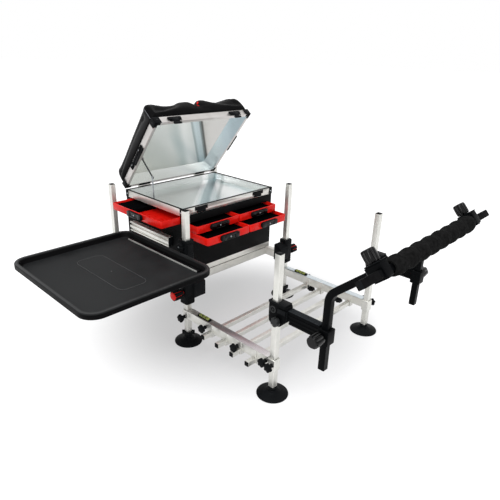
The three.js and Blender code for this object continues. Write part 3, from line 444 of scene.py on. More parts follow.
# %% [markdown]
# The bump bar is steel with black powder coat, whose melted powder dries with a
# faint orange peel of about 1.5 mm. The seal, the sleeves and the groove strips
# are rubber. The roll and the drawer liners are closed cell foam, with pores of
# about 1.6 mm that show as specks.

# %% Powder coat, rubber and foam
def powder_coat(name, dark, light):
    material, tree, shader, place = finish(name, dark, 0.36, 0.0, 0.025)
    peel = node(tree, "ShaderNodeTexNoise", {"Vector": place, "Scale": per_mm(1.5), "Detail": 2.0})
    tree.links.new(shades(tree, peel.outputs[0], dark, light), shader.inputs["Base Color"])
    bump(tree, shader, peel.outputs[0], 0.06, 0.6)
    return material


def moulded_rubber():
    material, tree, shader, place = finish("moulded_black_rubber", "#0E0E0F", 0.7, 0.0, 0.03)
    dust = node(tree, "ShaderNodeTexNoise", {"Vector": place, "Scale": per_mm(14), "Detail": 6.0})
    tree.links.new(shades(tree, dust.outputs[0], "#0C0C0D", "#161617"), shader.inputs["Base Color"])
    bump(tree, shader, dust.outputs[0], 0.08, 0.5)
    return material


def closed_cell_foam(name, dark, light, specular):
    material, tree, shader, place = finish(name, dark, 0.92, 0.0, specular)
    pores = node(tree, "ShaderNodeTexVoronoi", {"Vector": place, "Scale": per_mm(1.6)})
    mottle = node(tree, "ShaderNodeTexNoise", {"Vector": place, "Scale": per_mm(9), "Detail": 4.0})
    tree.links.new(shades(tree, mottle.outputs[0], dark, light), shader.inputs["Base Color"])
    bump(tree, shader, pores.outputs["Distance"], 0.5, 0.7)
    return material


COATED = powder_coat("black_powder_coated_steel", "#070809", "#0E0F11")
# A lighter coat gives a painted highlight on the arms' top ribs.
RIB_HIGHLIGHT_COAT = powder_coat("powder_coated_steel_painted_highlight", "#26292C", "#34373A")
RUBBER = moulded_rubber()
FOAM = closed_cell_foam("closed_cell_eva_foam", "#101010", "#202020", 0.03)
LINER_FOAM = closed_cell_foam("soft_black_liner_foam", "#030304", "#08080A", 0.01)
print("coats and foams ready,", len(bpy.data.materials), "materials so far")

# %% [markdown]
# The seat is covered in vinyl with an embossed leather grain: rounded cells of
# about 1.8 mm with creases between them, softly glossy on their crowns. Over the
# pad's two ends the cover carries a painted sheen, paler most of all towards its
# front. The piping is the same vinyl in red, and the thread is spun polyester.
# The levels' vials are tinted acrylic.

# %% Vinyl, piping, thread and vials
def embossed_vinyl(name, dark, light, roughness, specular=0.05):
    material, tree, shader, place = finish(name, dark, roughness, 0.0, specular)
    grain = node(tree, "ShaderNodeTexVoronoi", {"Vector": place, "Scale": per_mm(1.8), "Smoothness": 0.5},
                 feature="SMOOTH_F1")
    soft = node(tree, "ShaderNodeTexNoise", {"Vector": place, "Scale": per_mm(25), "Detail": 4.0})
    tree.links.new(shades(tree, soft.outputs[0], dark, light), shader.inputs["Base Color"])
    rough = node(tree, "ShaderNodeMapRange", {"Value": grain.outputs["Distance"], "To Min": roughness - 0.06,
                                              "To Max": roughness + 0.12})
    tree.links.new(rough.outputs[0], shader.inputs["Roughness"])
    crown = node(tree, "ShaderNodeMath", {0: 1.0, 1: grain.outputs["Distance"]}, operation="SUBTRACT")
    bump(tree, shader, crown.outputs[0], 0.35, 0.6)
    return material


def end_sheen_share(inside, outside, low, high):
    """Share of the painted sheen: grows outwards over the pad's ends, and upwards along the open lid."""
    def share(tree, parts):
        away = distance_from(tree, parts["X"], ORIGIN.x)
        end = node(tree, "ShaderNodeMapRange", {"Value": away, "From Min": inside * MM, "From Max": outside * MM})
        front = node(tree, "ShaderNodeMapRange", {"Value": parts["Z"], "From Min": low * MM,
                                                  "From Max": high * MM})
        painted_sheen = node(tree, "ShaderNodeMath", {0: end.outputs[0], 1: front.outputs[0]}, operation="MULTIPLY")
        return painted_sheen.outputs[0]
    return share


VINYL = embossed_vinyl("embossed_black_vinyl", "#060607", "#0C0C0D", 0.36, 0.035)
# Painted sheen: the pad's ends turn pale grey, most towards the lid's front.
blend_by_place(VINYL, "#323233", end_sheen_share(224, 231, 520, 700))
# Pale vinyl for the painted highlight of the seat's corner folds.
VINYL_FOLD_HIGHLIGHT = embossed_vinyl("vinyl_fold_painted_highlight", "#5E5F63", "#737478", 0.3)
RED_VINYL = embossed_vinyl("embossed_red_vinyl", "#D3120F", "#E61C18", 0.4)
THREAD = embossed_vinyl("spun_polyester_thread", "#26262A", "#3A3A3E", 0.7)
VIAL, tree, shader, place = finish("tinted_acrylic", "#A8B650", 0.1, 0.0, **{
    "Transmission Weight": 0.3, "IOR": 1.49})
bubble = node(tree, "ShaderNodeTexNoise", {"Vector": place, "Scale": per_mm(7), "Detail": 1.0})
tree.links.new(shades(tree, bubble.outputs[0], "#5E6A26", "#C2CE6A"), shader.inputs["Base Color"])
print(len(bpy.data.materials), "materials")

# %% [markdown]
# The CAD solids keep their shapes. Each gets its finish, and two modifiers round
# its edges: Weld joins the loose triangles, and Bevel rounds what is sharp. A real
# extrusion or moulding always has that small round, and it catches the light.
# Solids that a dressed piece will replace are left out.

# %% Finish and round the CAD solids
SAME_POINT = 0.00002
SHARP_EDGE = math.radians(32)


def round_edges(piece, width):
    for polygon in piece.data.polygons:
        polygon.use_smooth = True
    weld = piece.modifiers.new("join_triangles", "WELD")
    weld.merge_threshold = SAME_POINT
    edge = piece.modifiers.new("round_edges", "BEVEL")
    edge.width = width * MM
    edge.segments = 2
    edge.limit_method = "ANGLE"
    edge.angle_limit = SHARP_EDGE
    edge.harden_normals = True
    edge.use_clamp_overlap = True


def dress(nodes, material, width):
    for name in nodes:
        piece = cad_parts[name]
        piece.data.materials.clear()
        piece.data.materials.append(material)
        round_edges(piece, width)


quarters = [f"{end}_{side}" for end in ENDS for side in SIDES]
leg_names = [f"box_{quarter}" for quarter in quarters] + ["plate_left", "plate_right"]
dress(["frame_rail_front", "frame_rail_rear", "rim_frame"], ALUMINIUM["x"], 0.6)
dress(["lid_shell"], LID_ALUMINIUM, 0.6)
dress(["frame_rail_left", "frame_rail_right", "accessory_rail", "plate_rail_left", "plate_rail_right"],
      ALUMINIUM["y"], 0.5)
dress([f"cross_bar_{i}" for i in range(1, 5)], ALUMINIUM["x"], 0.5)
dress([f"leg_{name}" for name in leg_names], ALUMINIUM["z"], 0.5)
dress(["top_tub"], SHEET, 0.25)
dress(["stay_lower"], DULL_ZINC, 0.4)
dress(["stay_upper"], BLACK_ZINC, 0.4)
dress(["cabinet_core", "cabinet_front"], PANEL, 0.3)
drawer_names = [f"{row}_{side}" for row in ("upper", "lower") for side in SIDES] + ["side"]
dress([f"drawer_{name}" for name in drawer_names], RED_ABS, 0.7)
dress([f"drawer_pull_{name}" for name in drawer_names], BLACK_ABS, 1.2)
dress([f"leg_bracket_{quarter}" for quarter in quarters] + ["tray_clamp"], BLACK_ABS, 1.0)
dress(["bump_arm_left", "bump_arm_right", "bump_upright_left", "bump_upright_right", "roll_bar"], COATED, 0.7)
dress(["rim_seal"], RUBBER, 0.5)
print("dressed the CAD solids")


# %% [markdown]
# New pieces are built in code. A shape is a list of points and faces in one of
# the frames above. One function turns it into a finished mesh: it places the
# points, turns all faces outwards, gives it its finish and lets it ride.

# %% Helpers for new pieces
def make_piece(name, shapes, place, material, body, sharp=35):
    grid = bmesh.new()
    for points, faces in shapes:
        made = [grid.verts.new(place @ Vector(p)) for p in points]
        for face in faces:
            grid.faces.new([made[i] for i in face])
    bmesh.ops.recalc_face_normals(grid, faces=grid.faces)
    mesh = bpy.data.meshes.new(name)
    grid.to_mesh(mesh)
    grid.free()
    mesh.polygons.foreach_set("use_smooth", [True] * len(mesh.polygons))
    mesh.set_sharp_from_angle(angle=math.radians(sharp))
    mesh.materials.append(material)
    piece = bpy.data.objects.new(name, mesh)
    bpy.context.scene.collection.objects.link(piece)
    if body:
        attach(piece, body)
    return piece


def skin(rings, ends=True):
    count = len(rings[0])
    faces = []
    for r in range(len(rings) - 1):
        for i in range(count):
            j = (i + 1) % count
            faces.append((r * count + i, r * count + j, (r + 1) * count + j, (r + 1) * count + i))
    if ends:
        faces.append(tuple(reversed(range(count))))
        faces.append(tuple(range((len(rings) - 1) * count, len(rings) * count)))
    return [p for ring in rings for p in ring], faces


print("two triangles make", len(skin([[(0, 0, 0), (1, 0, 0), (0, 1, 0)], [(0, 0, 1), (1, 0, 1), (0, 1, 1)]])[1]),
      "faces of a prism")


# %% Round and square shapes
def circle(radius, z, sides):
    step = 2 * math.pi / sides
    return [(radius * math.cos(i * step), radius * math.sin(i * step), z) for i in range(sides)]


def lathe(profile, sides=48):
    return skin([circle(max(r, 0.01), z, sides) for r, z in profile])


def rounded_outline(low, high, radius, steps):
    corners = [(high[0], high[1], 0), (low[0], high[1], 1), (low[0], low[1], 2), (high[0], low[1], 3)]
    outline = []
    for x, y, quarter in corners:
        cx = x - radius if x == high[0] else x + radius
        cy = y - radius if y == high[1] else y + radius
        for i in range(steps + 1):
            angle = (quarter + i / steps) * math.pi / 2
            outline.append((cx + radius * math.cos(angle), cy + radius * math.sin(angle)))
    return outline


def ring_in(low, high, inset, z, radius, steps):
    """The rounded outline of a rectangle, moved in by an inset and lifted to a height."""
    outline = rounded_outline((low[0] + inset, low[1] + inset), (high[0] - inset, high[1] - inset), radius, steps)
    return [(x, y, z) for x, y in outline]


def soft_block(one, other, edge, corner=None):
    """A block with rounded edges between two opposite corners, in any order."""
    low, high = ([pick(pair) for pair in zip(one, other)] for pick in (min, max))
    corner = corner or edge * 2
    return skin([ring_in(low, high, inset, z, max(corner - inset, 0.05), 3)
                 for inset, z in [(edge, low[2]), (edge * 0.3, low[2] + edge * 0.3), (0, low[2] + edge),
                                  (0, high[2] - edge), (edge * 0.3, high[2] - edge * 0.3), (edge, high[2])]])


def band(rings):
    """A closed band: its rings are joined in a loop, so that it needs no ends."""
    points, faces = skin(rings, ends=False)
    count, last = len(rings[0]), (len(rings) - 1) * len(rings[0])
    faces += [(last + i, last + (i + 1) % count, (i + 1) % count, i) for i in range(count)]
    return points, faces


def turned(shape, matrix):
    points, faces = shape
    return [tuple(matrix @ Vector(p)) for p in points], faces


def facing(direction):
    """Turns a shape that stands on Z so that it stands along x or y, either way."""
    return {"z": Matrix(), "-z": Matrix.Rotation(math.pi, 4, "X"),
            "x": Matrix.Rotation(math.pi / 2, 4, "Y"), "-x": Matrix.Rotation(-math.pi / 2, 4, "Y"),
            "y": Matrix.Rotation(-math.pi / 2, 4, "X"), "-y": Matrix.Rotation(math.pi / 2, 4, "X")}[direction]


def outwards_x(side):
    return "x" if side > 0 else "-x"


print("a soft block has", len(soft_block((0, 0, 0), (9, 9, 9), 1.0)[1]), "faces")


# %% [markdown]
# ## The seat
# The seat is a foam pad under vinyl, a little thicker at its front, where soft
# lobes and a notch in the middle leave room for the legs. A lofted shape gives the
# pattern, then a short cloth simulation with air pressure rounds it the way
# stuffing does. The underside and the middle channel are pinned, since the pad is
# glued to the lid and sewn down there.

# %% Pattern of the seat pad
PAD_HALF, PAD_FRONT, PAD_REAR = 232.0, -349.5, 2.5
PAD_BASE = 25.3
PAD_TOP_REAR, PAD_TOP_FRONT = 61.0, 68.0
PAD_PULLED_DOWN = 2.5
LOBES_RIGHT, LOBES_LEFT = (34, 152), (60, 130)
LOBE_HEIGHT, LOBE_BASE, LOBE_RIGHT_EXTRA = 4.8, 2.5, 2.5
NOTCH_X, NOTCH_DEPTH, NOTCH_RIGHT, NOTCH_LEFT = -2, 26, 9, 14


def pad_thickness(x, y):
    share = min(max((y - LID_REAR) / (LID_FRONT - LID_REAR), 0), 1)
    body = PAD_TOP_REAR + (PAD_TOP_FRONT - PAD_TOP_REAR) * share
    crest, spacing = LOBES_RIGHT if x > 0 else LOBES_LEFT
    lobe = math.cos(2 * math.pi * (abs(x) - crest) / spacing)
    notch = math.exp(-(((x - NOTCH_X) / (NOTCH_RIGHT if x > NOTCH_X else NOTCH_LEFT)) ** 2))
    right = LOBE_RIGHT_EXTRA * min(max(x / 20, 0), 1)
    return body + share * (LOBE_HEIGHT * lobe + LOBE_BASE + right - NOTCH_DEPTH * notch)


def pad_ring(inset, share):
    """One ring of the loft. Its straight sides get points of their own, so that the cloth can bend there."""
    outline = rounded_outline((-PAD_HALF + inset, PAD_FRONT + inset), (PAD_HALF - inset, PAD_REAR - inset),
                              max(24 - inset, 6), 7)
    points = []
    for i, point in enumerate(outline):
        points.append(point)
        if i % 8 == 7:
            following = outline[(i + 1) % len(outline)]
            steps = 26 if i % 16 == 7 else 18
            for k in range(1, steps):
                points.append(tuple(a + (b - a) * k / steps for a, b in zip(point, following)))
    return [(x, y, PAD_BASE + share * (pad_thickness(x, y) - PAD_PULLED_DOWN)) for x, y in points]


pad_profile = [(6, 0), (3.5, 0.06), (2.5, 0.2), (2.2, 0.45), (3, 0.68), (6, 0.84), (11, 0.94), (19, 0.99),
               (30, 1.0), (46, 1.0), (66, 1.0), (90, 1.0), (116, 1.0), (144, 1.0)]
pad_shape = skin([pad_ring(inset, share) for inset, share in pad_profile])
pad = make_piece("seat_cushion", [pad_shape], Matrix(), VINYL, None)
for vertex in pad.data.vertices:
    vertex.co *= MM
remesh = pad.modifiers.new("even_faces", "REMESH")
remesh.mode = "VOXEL"
remesh.voxel_size = 5 * MM
remesh.use_smooth_shade = True
print("pattern of the seat has", len(pad.data.polygons), "faces")

# %% Stuffing the seat pad
STUFFING_CAP = 7.0
STUFFING_FRAMES = 20
STUFFING = {"quality": 6, "use_pressure": True, "uniform_pressure_force": 4, "tension_stiffness": 18,
            "compression_stiffness": 12, "bending_stiffness": 1.2, "vertex_group_mass": "held"}


def apply_modifiers(piece):
    bpy.context.view_layer.update()
    graph = bpy.context.evaluated_depsgraph_get()
    mesh = bpy.data.meshes.new_from_object(piece.evaluated_get(graph))
    old = piece.data
    piece.modifiers.clear()
    piece.data = mesh
    if old.users == 0:
        bpy.data.meshes.remove(old)
    return piece


apply_modifiers(pad)
before = [v.co.copy() for v in pad.data.vertices]
held = pad.vertex_groups.new(name="held")
for vertex in pad.data.vertices:
    x, y, z = (c / MM for c in vertex.co)
    low = min(max((PAD_BASE + 9 - z) / 6, 0), 1)
    middle = math.exp(-((x / 7) ** 2)) * 0.9
    held.add([vertex.index], max(low, middle), "REPLACE")
cloth = pad.modifiers.new("stuffing", "CLOTH")
for setting, value in STUFFING.items():
    setattr(cloth.settings, setting, value)
cloth.settings.effector_weights.gravity = 0
cloth.point_cache.frame_start, cloth.point_cache.frame_end = 1, STUFFING_FRAMES
for step in range(1, STUFFING_FRAMES + 1):
    bpy.context.scene.frame_set(step)
apply_modifiers(pad)
bpy.context.scene.frame_set(1)
moved = 0.0
for vertex, start in zip(pad.data.vertices, before):
    shift = vertex.co - start
    if shift.length > STUFFING_CAP * MM:
        shift *= STUFFING_CAP * MM / shift.length
    vertex.co = start + shift
    moved = max(moved, shift.length)
print("seat pad moved at most", round(moved / MM, 1), "mm,", len(pad.data.vertices), "points")

# %% [markdown]
# After the simulation come the sewn lines. One channel a side crosses the seat
# from front to back, the panel on top is sewn to the side band all round, and
# shallow wrinkles lie between the seams. Each is a small push up or down.

# %% Seams and wrinkles of the seat
PAD_CORNER = 44
PAD_SEAM_INSET, SEAM_DEPTH, SEAM_WIDTH = 15.0, 1.6, 3.2
CHANNEL_X, CHANNEL_DEPTH, CHANNEL_WIDTH = 125, 2.2, 5


def pad_edge_distance(x, y):
    """Distance inwards from the pad's outline, corners rounded."""
    dx = PAD_HALF - abs(x)
    middle, half = (PAD_FRONT + PAD_REAR) / 2, (PAD_REAR - PAD_FRONT) / 2
    dy = half - abs(y - middle)
    if dx < PAD_CORNER and dy < PAD_CORNER:
        return PAD_CORNER - math.hypot(PAD_CORNER - dx, PAD_CORNER - dy)
    return min(dx, dy)


for vertex in pad.data.vertices:
    x, y, z = (c / MM for c in vertex.co)
    height = (z - PAD_BASE) / max(pad_thickness(x, y), 1)
    if height < 0.5:
        continue
    distance = pad_edge_distance(x, y)
    seam = SEAM_DEPTH * math.exp(-((distance - PAD_SEAM_INSET) / SEAM_WIDTH) ** 2)
    channel = CHANNEL_DEPTH * math.exp(-((abs(x) - CHANNEL_X) / CHANNEL_WIDTH) ** 2)
    channel *= min(max((distance - 30) / 30, 0), 1)
    ripple = noise.noise(Vector((x / 26, y / 26, z / 40))) * 1.1 + noise.noise(Vector((x / 9, y / 60, 3.0))) * 0.35
    vertex.co.z += (ripple - seam - channel) * MM * min((height - 0.5) * 4, 1)
pad.data.transform(LID @ Matrix.Scale(1 / MM, 4))
smooth = pad.modifiers.new("finer", "SUBSURF")
smooth.levels = smooth.render_levels = 1
pad.data.polygons.foreach_set("use_smooth", [True] * len(pad.data.polygons))
pad.data.materials.clear()
pad.data.materials.append(VINYL)
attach(pad, "lid")
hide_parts("seat_pad")
print("seat pad has", len(pad.data.polygons), "faces before the last subdivision")


# %% [markdown]
# ## Repeats by Geometry Nodes
# Plugs, thumb knobs and screws are the same small part again and again. One tree
# puts a part on points: each point stores its turn as an attribute, and the
# tree's inputs are the part, its size and its finish. The result is turned into a
# plain mesh, one for each body, because instances don't travel.

# %% Start, end and use of a geometry tree
def start_tree(name, sizes, geometry=True, part=False):
    """A tree and its named inputs: geometry or a part where it needs one, its sizes and its finish."""
    tree = bpy.data.node_groups.new(name, "GeometryNodeTree")
    face = tree.interface
    if geometry:
        face.new_socket("Geometry", in_out="INPUT", socket_type="NodeSocketGeometry")
    if part:
        face.new_socket("Part", in_out="INPUT", socket_type="NodeSocketObject")
    for label, value in sizes.items():
        face.new_socket(label, in_out="INPUT", socket_type="NodeSocketFloat").default_value = value
    face.new_socket("Finish", in_out="INPUT", socket_type="NodeSocketMaterial")
    face.new_socket("Geometry", in_out="OUTPUT", socket_type="NodeSocketGeometry")
    return tree, node(tree, "NodeGroupInput").outputs


def end_tree(tree, geometry, coat):
    real = node(tree, "GeometryNodeRealizeInstances", {"Geometry": geometry})
    coated = node(tree, "GeometryNodeSetMaterial", {"Geometry": real.outputs[0], "Material": coat})
    node(tree, "NodeGroupOutput", {"Geometry": coated.outputs[0]})
    return tree


def grown(name, mesh, tree, values):
    """A new object with the mesh that the tree makes of the given one. Its inputs are set by identifier."""
    piece = bpy.data.objects.new(name, mesh)
    bpy.context.scene.collection.objects.link(piece)
    modifier = piece.modifiers.new(tree.name, "NODES")
    modifier.node_group = tree
    for item in tree.interface.items_tree:
        if item.item_type == "SOCKET" and item.in_out == "INPUT" and item.name in values:
            modifier[item.identifier] = values[item.name]
    return apply_modifiers(piece)


print("trees so far:", len(bpy.data.node_groups))


# %% Tree that puts a part on points
def copies_tree():
    tree, given = start_tree("copies_on_points", {"Size": 1.0}, part=True)
    part = node(tree, "GeometryNodeObjectInfo", {"Object": given["Part"]})
    stored = node(tree, "GeometryNodeInputNamedAttribute", {"Name": "turn"}, data_type="FLOAT_VECTOR")
    rotation = node(tree, "FunctionNodeEulerToRotation", {"Euler": stored.outputs["Attribute"]})
    copies = node(tree, "GeometryNodeInstanceOnPoints", {
        "Points": given["Geometry"], "Instance": part.outputs["Geometry"],
        "Rotation": rotation.outputs[0], "Scale": given["Size"]})
    return end_tree(tree, copies.outputs[0], given["Finish"])


COPIES = copies_tree()


def repeat_part(name, part, places, material, body, size=1.0):
    """Copies of a part at places in the row frame, each (point, 4x4 turn), as one mesh."""
    mesh = bpy.data.meshes.new(name)
    mesh.from_pydata([point for point, turn in places], [], [])
    turns = mesh.attributes.new("turn", "FLOAT_VECTOR", "POINT")
    for i, (point, turn) in enumerate(places):
        turns.data[i].vector = turn.to_euler("XYZ")
    piece = grown(name, mesh, COPIES, {"Part": part, "Size": size, "Finish": material})
    piece.data.materials.clear()
    piece.data.materials.append(material)
    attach(piece, body)
    return piece


def part_to_copy(name, shapes):
    part = make_piece(name, shapes, Matrix.Scale(MM, 4), BLACK_ABS, None)
    part.hide_render = True
    return part


def place_of(frame_matrix, x, y, z, direction, spin=0.0):
    turn = frame_matrix.to_3x3().normalized().to_4x4() @ facing(direction) @ Matrix.Rotation(spin, 4, "Z")
    return tuple(frame_matrix @ Vector((x, y, z))), turn


print("tree", COPIES.name, "has", len(COPIES.nodes), "nodes")


# %% [markdown]
# Every square tube ends in a moulded plug: a flange with rounded corners that
# covers most of the wall, and a low cushion in its middle.

# %% Tube plugs
LEG_SIZE, BAR_SIZE = 20, 18
PLUG_MARGIN, PLUG_CORNER = 1.1, 2.2


def plug_shape(side):
    half = side / 2 - PLUG_MARGIN
    levels = [(0.4, -0.2), (0, 0.1), (0, 1.0), (0.7, 1.6), (2.4, 1.7), (3.2, 2.5), (4.5, 2.8)]
    return [skin([ring_in((-half, -half), (half, half), inset, z, max(PLUG_CORNER - inset, 0.4), 3)
                  for inset, z in levels])]


leg_plug = part_to_copy("leg_plug_part", plug_shape(LEG_SIZE))
bar_plug = part_to_copy("bar_plug_part", plug_shape(BAR_SIZE))
for name in leg_names:
    low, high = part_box(f"leg_{name}")
    top = Vector(((low.x + high.x) / 2, (low.y + high.y) / 2, high.z))
    repeat_part(f"leg_plug_{name}", leg_plug, [(tuple(top), Matrix())], BLACK_ABS, f"leg_{name}")
BAR_Y = [-124 - 67 * i for i in range(4)]
BAR_Z, BAR_END_X = 88.7, 300
ROLL_BAR_Y, ROLL_BAR_Z, ROLL_BAR_END_X = -6, 172, 362
UPRIGHT_FOOT_Z, UPRIGHT_REACH = 181, 161
bar_ends = [place_of(BOX, side * BAR_END_X, y, BAR_Z, outwards_x(side)) for y in BAR_Y for side in (-1, 1)]
repeat_part("cross_bar_plugs", bar_plug, bar_ends, BLACK_ABS, "footplate")
upright_ends = [place_of(BOX, side * LEG_X, UPRIGHT_Y, UPRIGHT_FOOT_Z, "-z") for side in (-1, 1)]
upright_ends += [place_of(ROLL, side * LEG_X, 0, UPRIGHT_REACH, "z") for side in (-1, 1)]
repeat_part("upright_plugs", leg_plug, upright_ends, BLACK_ABS, "bump_uprights")
roll_ends = [place_of(ROLL, side * ROLL_BAR_END_X, ROLL_BAR_Y, ROLL_BAR_Z, outwards_x(side)) for side in (-1, 1)]
repeat_part("roll_bar_plugs", leg_plug, roll_ends, BLACK_ABS, "roll", 0.95)
print("plugs in", len(leg_names) + len(bar_ends) + len(upright_ends) + len(roll_ends), "tube ends")


# %% [markdown]
# Thumb knobs clamp the footplate's rails to the legs and bars: six rounded lobes
# on a short boss. They stick out of the outer faces of both side rails, and two
# more hang under the right one.

# %% Thumb knobs on the footplate
def knob_ring(radius, dip_at, sides):
    """A ring whose radius dips round the knob: dip_at gives the dip at an angle."""
    angles = [2 * math.pi * i / sides for i in range(sides)]
    return [((radius - dip_at(a)) * math.cos(a), (radius - dip_at(a)) * math.sin(a)) for a in angles]


def lobed_ring(radius, depth, z, count=6):
    ring = knob_ring(radius, lambda a: depth * (0.5 - 0.5 * math.cos(count * a)) ** 1.4, 60)
    return [(x, y, z) for x, y in ring]


THUMB_GRIP = [(9, 1.2, 11.0), (13, 3.0, 12.0), (14.8, 3.8, 14.2), (15.0, 3.8, 19.5), (13.8, 3.4, 22.0),
              (10.6, 1.8, 23.6), (6, 0.4, 24.4), (2, 0, 24.6)]
THUMB_BOSS = [(4.5, -0.3), (6.8, 0.4), (5.6, 6), (6.2, 12.2)]
thumb_knob = part_to_copy("thumb_knob_part", [skin([lobed_ring(*level) for level in THUMB_GRIP]),
                                              lathe(THUMB_BOSS, 24)])
KNOB_OUT = [(3, 102, 13.6), (-106, 108, 12.6), (-258, 108, 12.6), (-374, 112, 10.2), (-402, 110, 13.6)]
KNOB_UNDER, KNOB_UNDER_Z = {"left": [], "right": [-147, -279]}, 96.8
for side_name, side in SIDES.items():
    spots = [place_of(BOX, side * (LEG_X + out), y, z, outwards_x(side), 0.4 + i)
             for i, (y, z, out) in enumerate(KNOB_OUT)]
    spots += [place_of(BOX, side * LEG_X, y, KNOB_UNDER_Z, "-z") for y in KNOB_UNDER[side_name]]
    repeat_part(f"thumb_knobs_{side_name}", thumb_knob, spots, BLACK_ABS, "footplate")
print("thumb knobs on both rails")

# %% [markdown]
# ## The foam roll
# The roll's radius follows a rule: it swells and narrows eight times along its
# length. That is made in Geometry Nodes from one grid: the grid's long side runs
# out along the surface and back through the bore, its short side goes round.

# %% Tree of the ripple roll
ROLL_SIZES = {"Length": 0.468, "Crest": 0.0254, "Valley": 0.0214, "Bore": 0.0137, "Ripples": 8.0}
GRID_ALONG, GRID_ROUND = 241, 73


def ripple_tree():
    tree, given = start_tree("ripple_roll", ROLL_SIZES, geometry=False)

    def sum_of(kind, first, second=0.0, third=0.0):
        return node(tree, "ShaderNodeMath", {0: first, 1: second, 2: third}, operation=kind).outputs[0]

    grid = node(tree, "GeometryNodeMeshGrid", {"Size X": 1.0, "Size Y": 1.0, "Vertices X": GRID_ALONG,
                                                  "Vertices Y": GRID_ROUND})
    spot = node(tree, "GeometryNodeInputPosition")
    parts = node(tree, "ShaderNodeSeparateXYZ", {0: spot.outputs[0]})
    along = sum_of("ADD", parts.outputs[0], 0.5)
    around = sum_of("MULTIPLY", parts.outputs[1], 2 * math.pi)
    outer = node(tree, "ShaderNodeMapRange", {"Value": along, "From Min": 0.02, "From Max": 0.94}).outputs[0]
    back = sum_of("GREATER_THAN", along, 0.97)
    inside = sum_of("MAXIMUM", sum_of("GREATER_THAN", along, 0.955), sum_of("LESS_THAN", along, 0.01))
    phase = sum_of("MULTIPLY", sum_of("MULTIPLY", outer, given["Ripples"]), 2 * math.pi)
    wave = sum_of("POWER", sum_of("MULTIPLY_ADD", sum_of("COSINE", phase), -0.5, 0.5), 0.7)
    swing = sum_of("SUBTRACT", given["Crest"], given["Valley"])
    radius = sum_of("MULTIPLY_ADD", swing, wave, given["Valley"])
    edge = sum_of("MINIMUM", outer, sum_of("SUBTRACT", 1.0, outer))
    rounding = node(tree, "ShaderNodeMapRange", {"Value": edge, "From Min": 0.0, "From Max": 0.012,
                                                 "To Min": -0.0035, "To Max": 0.0},
                    interpolation_type="SMOOTHERSTEP").outputs[0]
    cut_x = sum_of("MULTIPLY", sum_of("SUBTRACT", outer, 0.5), given["Length"])
    cells = node(tree, "ShaderNodeTexNoise", {"Scale": 1.0, "Detail": 3.0})
    seeds = node(tree, "ShaderNodeCombineXYZ", {
        0: sum_of("MULTIPLY", cut_x, 60.0), 1: sum_of("MULTIPLY", sum_of("COSINE", around), 1.6),
        2: sum_of("MULTIPLY", sum_of("SINE", around), 1.6)})
    tree.links.new(seeds.outputs[0], cells.inputs["Vector"])
    uneven = sum_of("MULTIPLY", sum_of("SUBTRACT", cells.outputs[0], 0.5), 0.0028)
    outside = sum_of("ADD", sum_of("ADD", radius, rounding), uneven)
    chosen = node(tree, "ShaderNodeMix", {"Factor": inside, "A": outside, "B": given["Bore"]},
                  data_type="FLOAT").outputs[0]
    run = node(tree, "ShaderNodeMix", {"Factor": back, "A": cut_x,
                                       "B": sum_of("MULTIPLY", given["Length"], -0.5)},
               data_type="FLOAT").outputs[0]
    rolled = node(tree, "ShaderNodeCombineXYZ", {
        0: run, 1: sum_of("MULTIPLY", chosen, sum_of("COSINE", around)),
        2: sum_of("MULTIPLY", chosen, sum_of("SINE", around))})
    shaped = node(tree, "GeometryNodeSetPosition", {"Geometry": grid.outputs[0], "Position": rolled.outputs[0]})
    closed = node(tree, "GeometryNodeMergeByDistance", {"Geometry": shaped.outputs[0], "Distance": SAME_POINT})
    return end_tree(tree, closed.outputs[0], given["Finish"])


RIPPLES = ripple_tree()
print("tree", RIPPLES.name, "has", len(RIPPLES.nodes), "nodes")

# %% Foam roll
roll_piece = grown("foam_roll", bpy.data.meshes.new("foam_roll"), RIPPLES, {"Finish": FOAM})
roll_piece.data.transform(ROLL @ Matrix.Translation((0, ROLL_BAR_Y, ROLL_BAR_Z)) @ Matrix.Scale(1 / MM, 4))


def outwards(piece):
    """Turns a piece's faces outwards, and says how many of its edges are open."""
    grid = bmesh.new()
    grid.from_mesh(piece.data)
    bmesh.ops.recalc_face_normals(grid, faces=grid.faces)
    grid.to_mesh(piece.data)
    open_edges = sum(1 for edge in grid.edges if not edge.is_manifold)
    grid.free()
    return open_edges


print("foam roll:", len(roll_piece.data.polygons), "faces,", outwards(roll_piece), "open edges")
roll_piece.data.polygons.foreach_set("use_smooth", [True] * len(roll_piece.data.polygons))
roll_piece.data.set_sharp_from_angle(angle=math.radians(50))
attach(roll_piece, "roll")
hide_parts("ripple_foam")

# %% [markdown]
# ## The side tray
# The tray is one vacuum formed sheet with a deep turned down edge. Its wall is
# drawn as a line of insets and heights that runs from under the floor, out under
# the rim, down inside the skirt, up outside it and back in to the floor. Each
# step of that line becomes one ring round the rounded outline.

# %% Side tray
TRAY_LOW, TRAY_HIGH, TRAY_CORNER = (-712, -175), (-285, 303), 50
TRAY_LINE = [(23, 327.6), (19.5, 327.8), (17, 329.4), (11.4, 345.6), (9.5, 347.4), (4.5, 347.4), (2.6, 346),
             (2.5, 333.4), (2.1, 333), (0.4, 333), (0, 333.5), (0, 346.2), (0.4, 348.2), (1.5, 349.5), (3.2, 350),
             (10.6, 350), (12.2, 349.5), (13.2, 348.2), (18.2, 332), (19.4, 330.5), (21.5, 330)]
PANEL_LOW, PANEL_HIGH, PANEL_CORNER = (-554, -74), (-460, 198), 24


def tray_ring(inset, z):
    return ring_in(TRAY_LOW, TRAY_HIGH, inset, z, max(TRAY_CORNER - inset, 2), 14)


def panel_ring(inset, z):
    return ring_in(PANEL_LOW, PANEL_HIGH, inset, z, PANEL_CORNER - inset, 8)


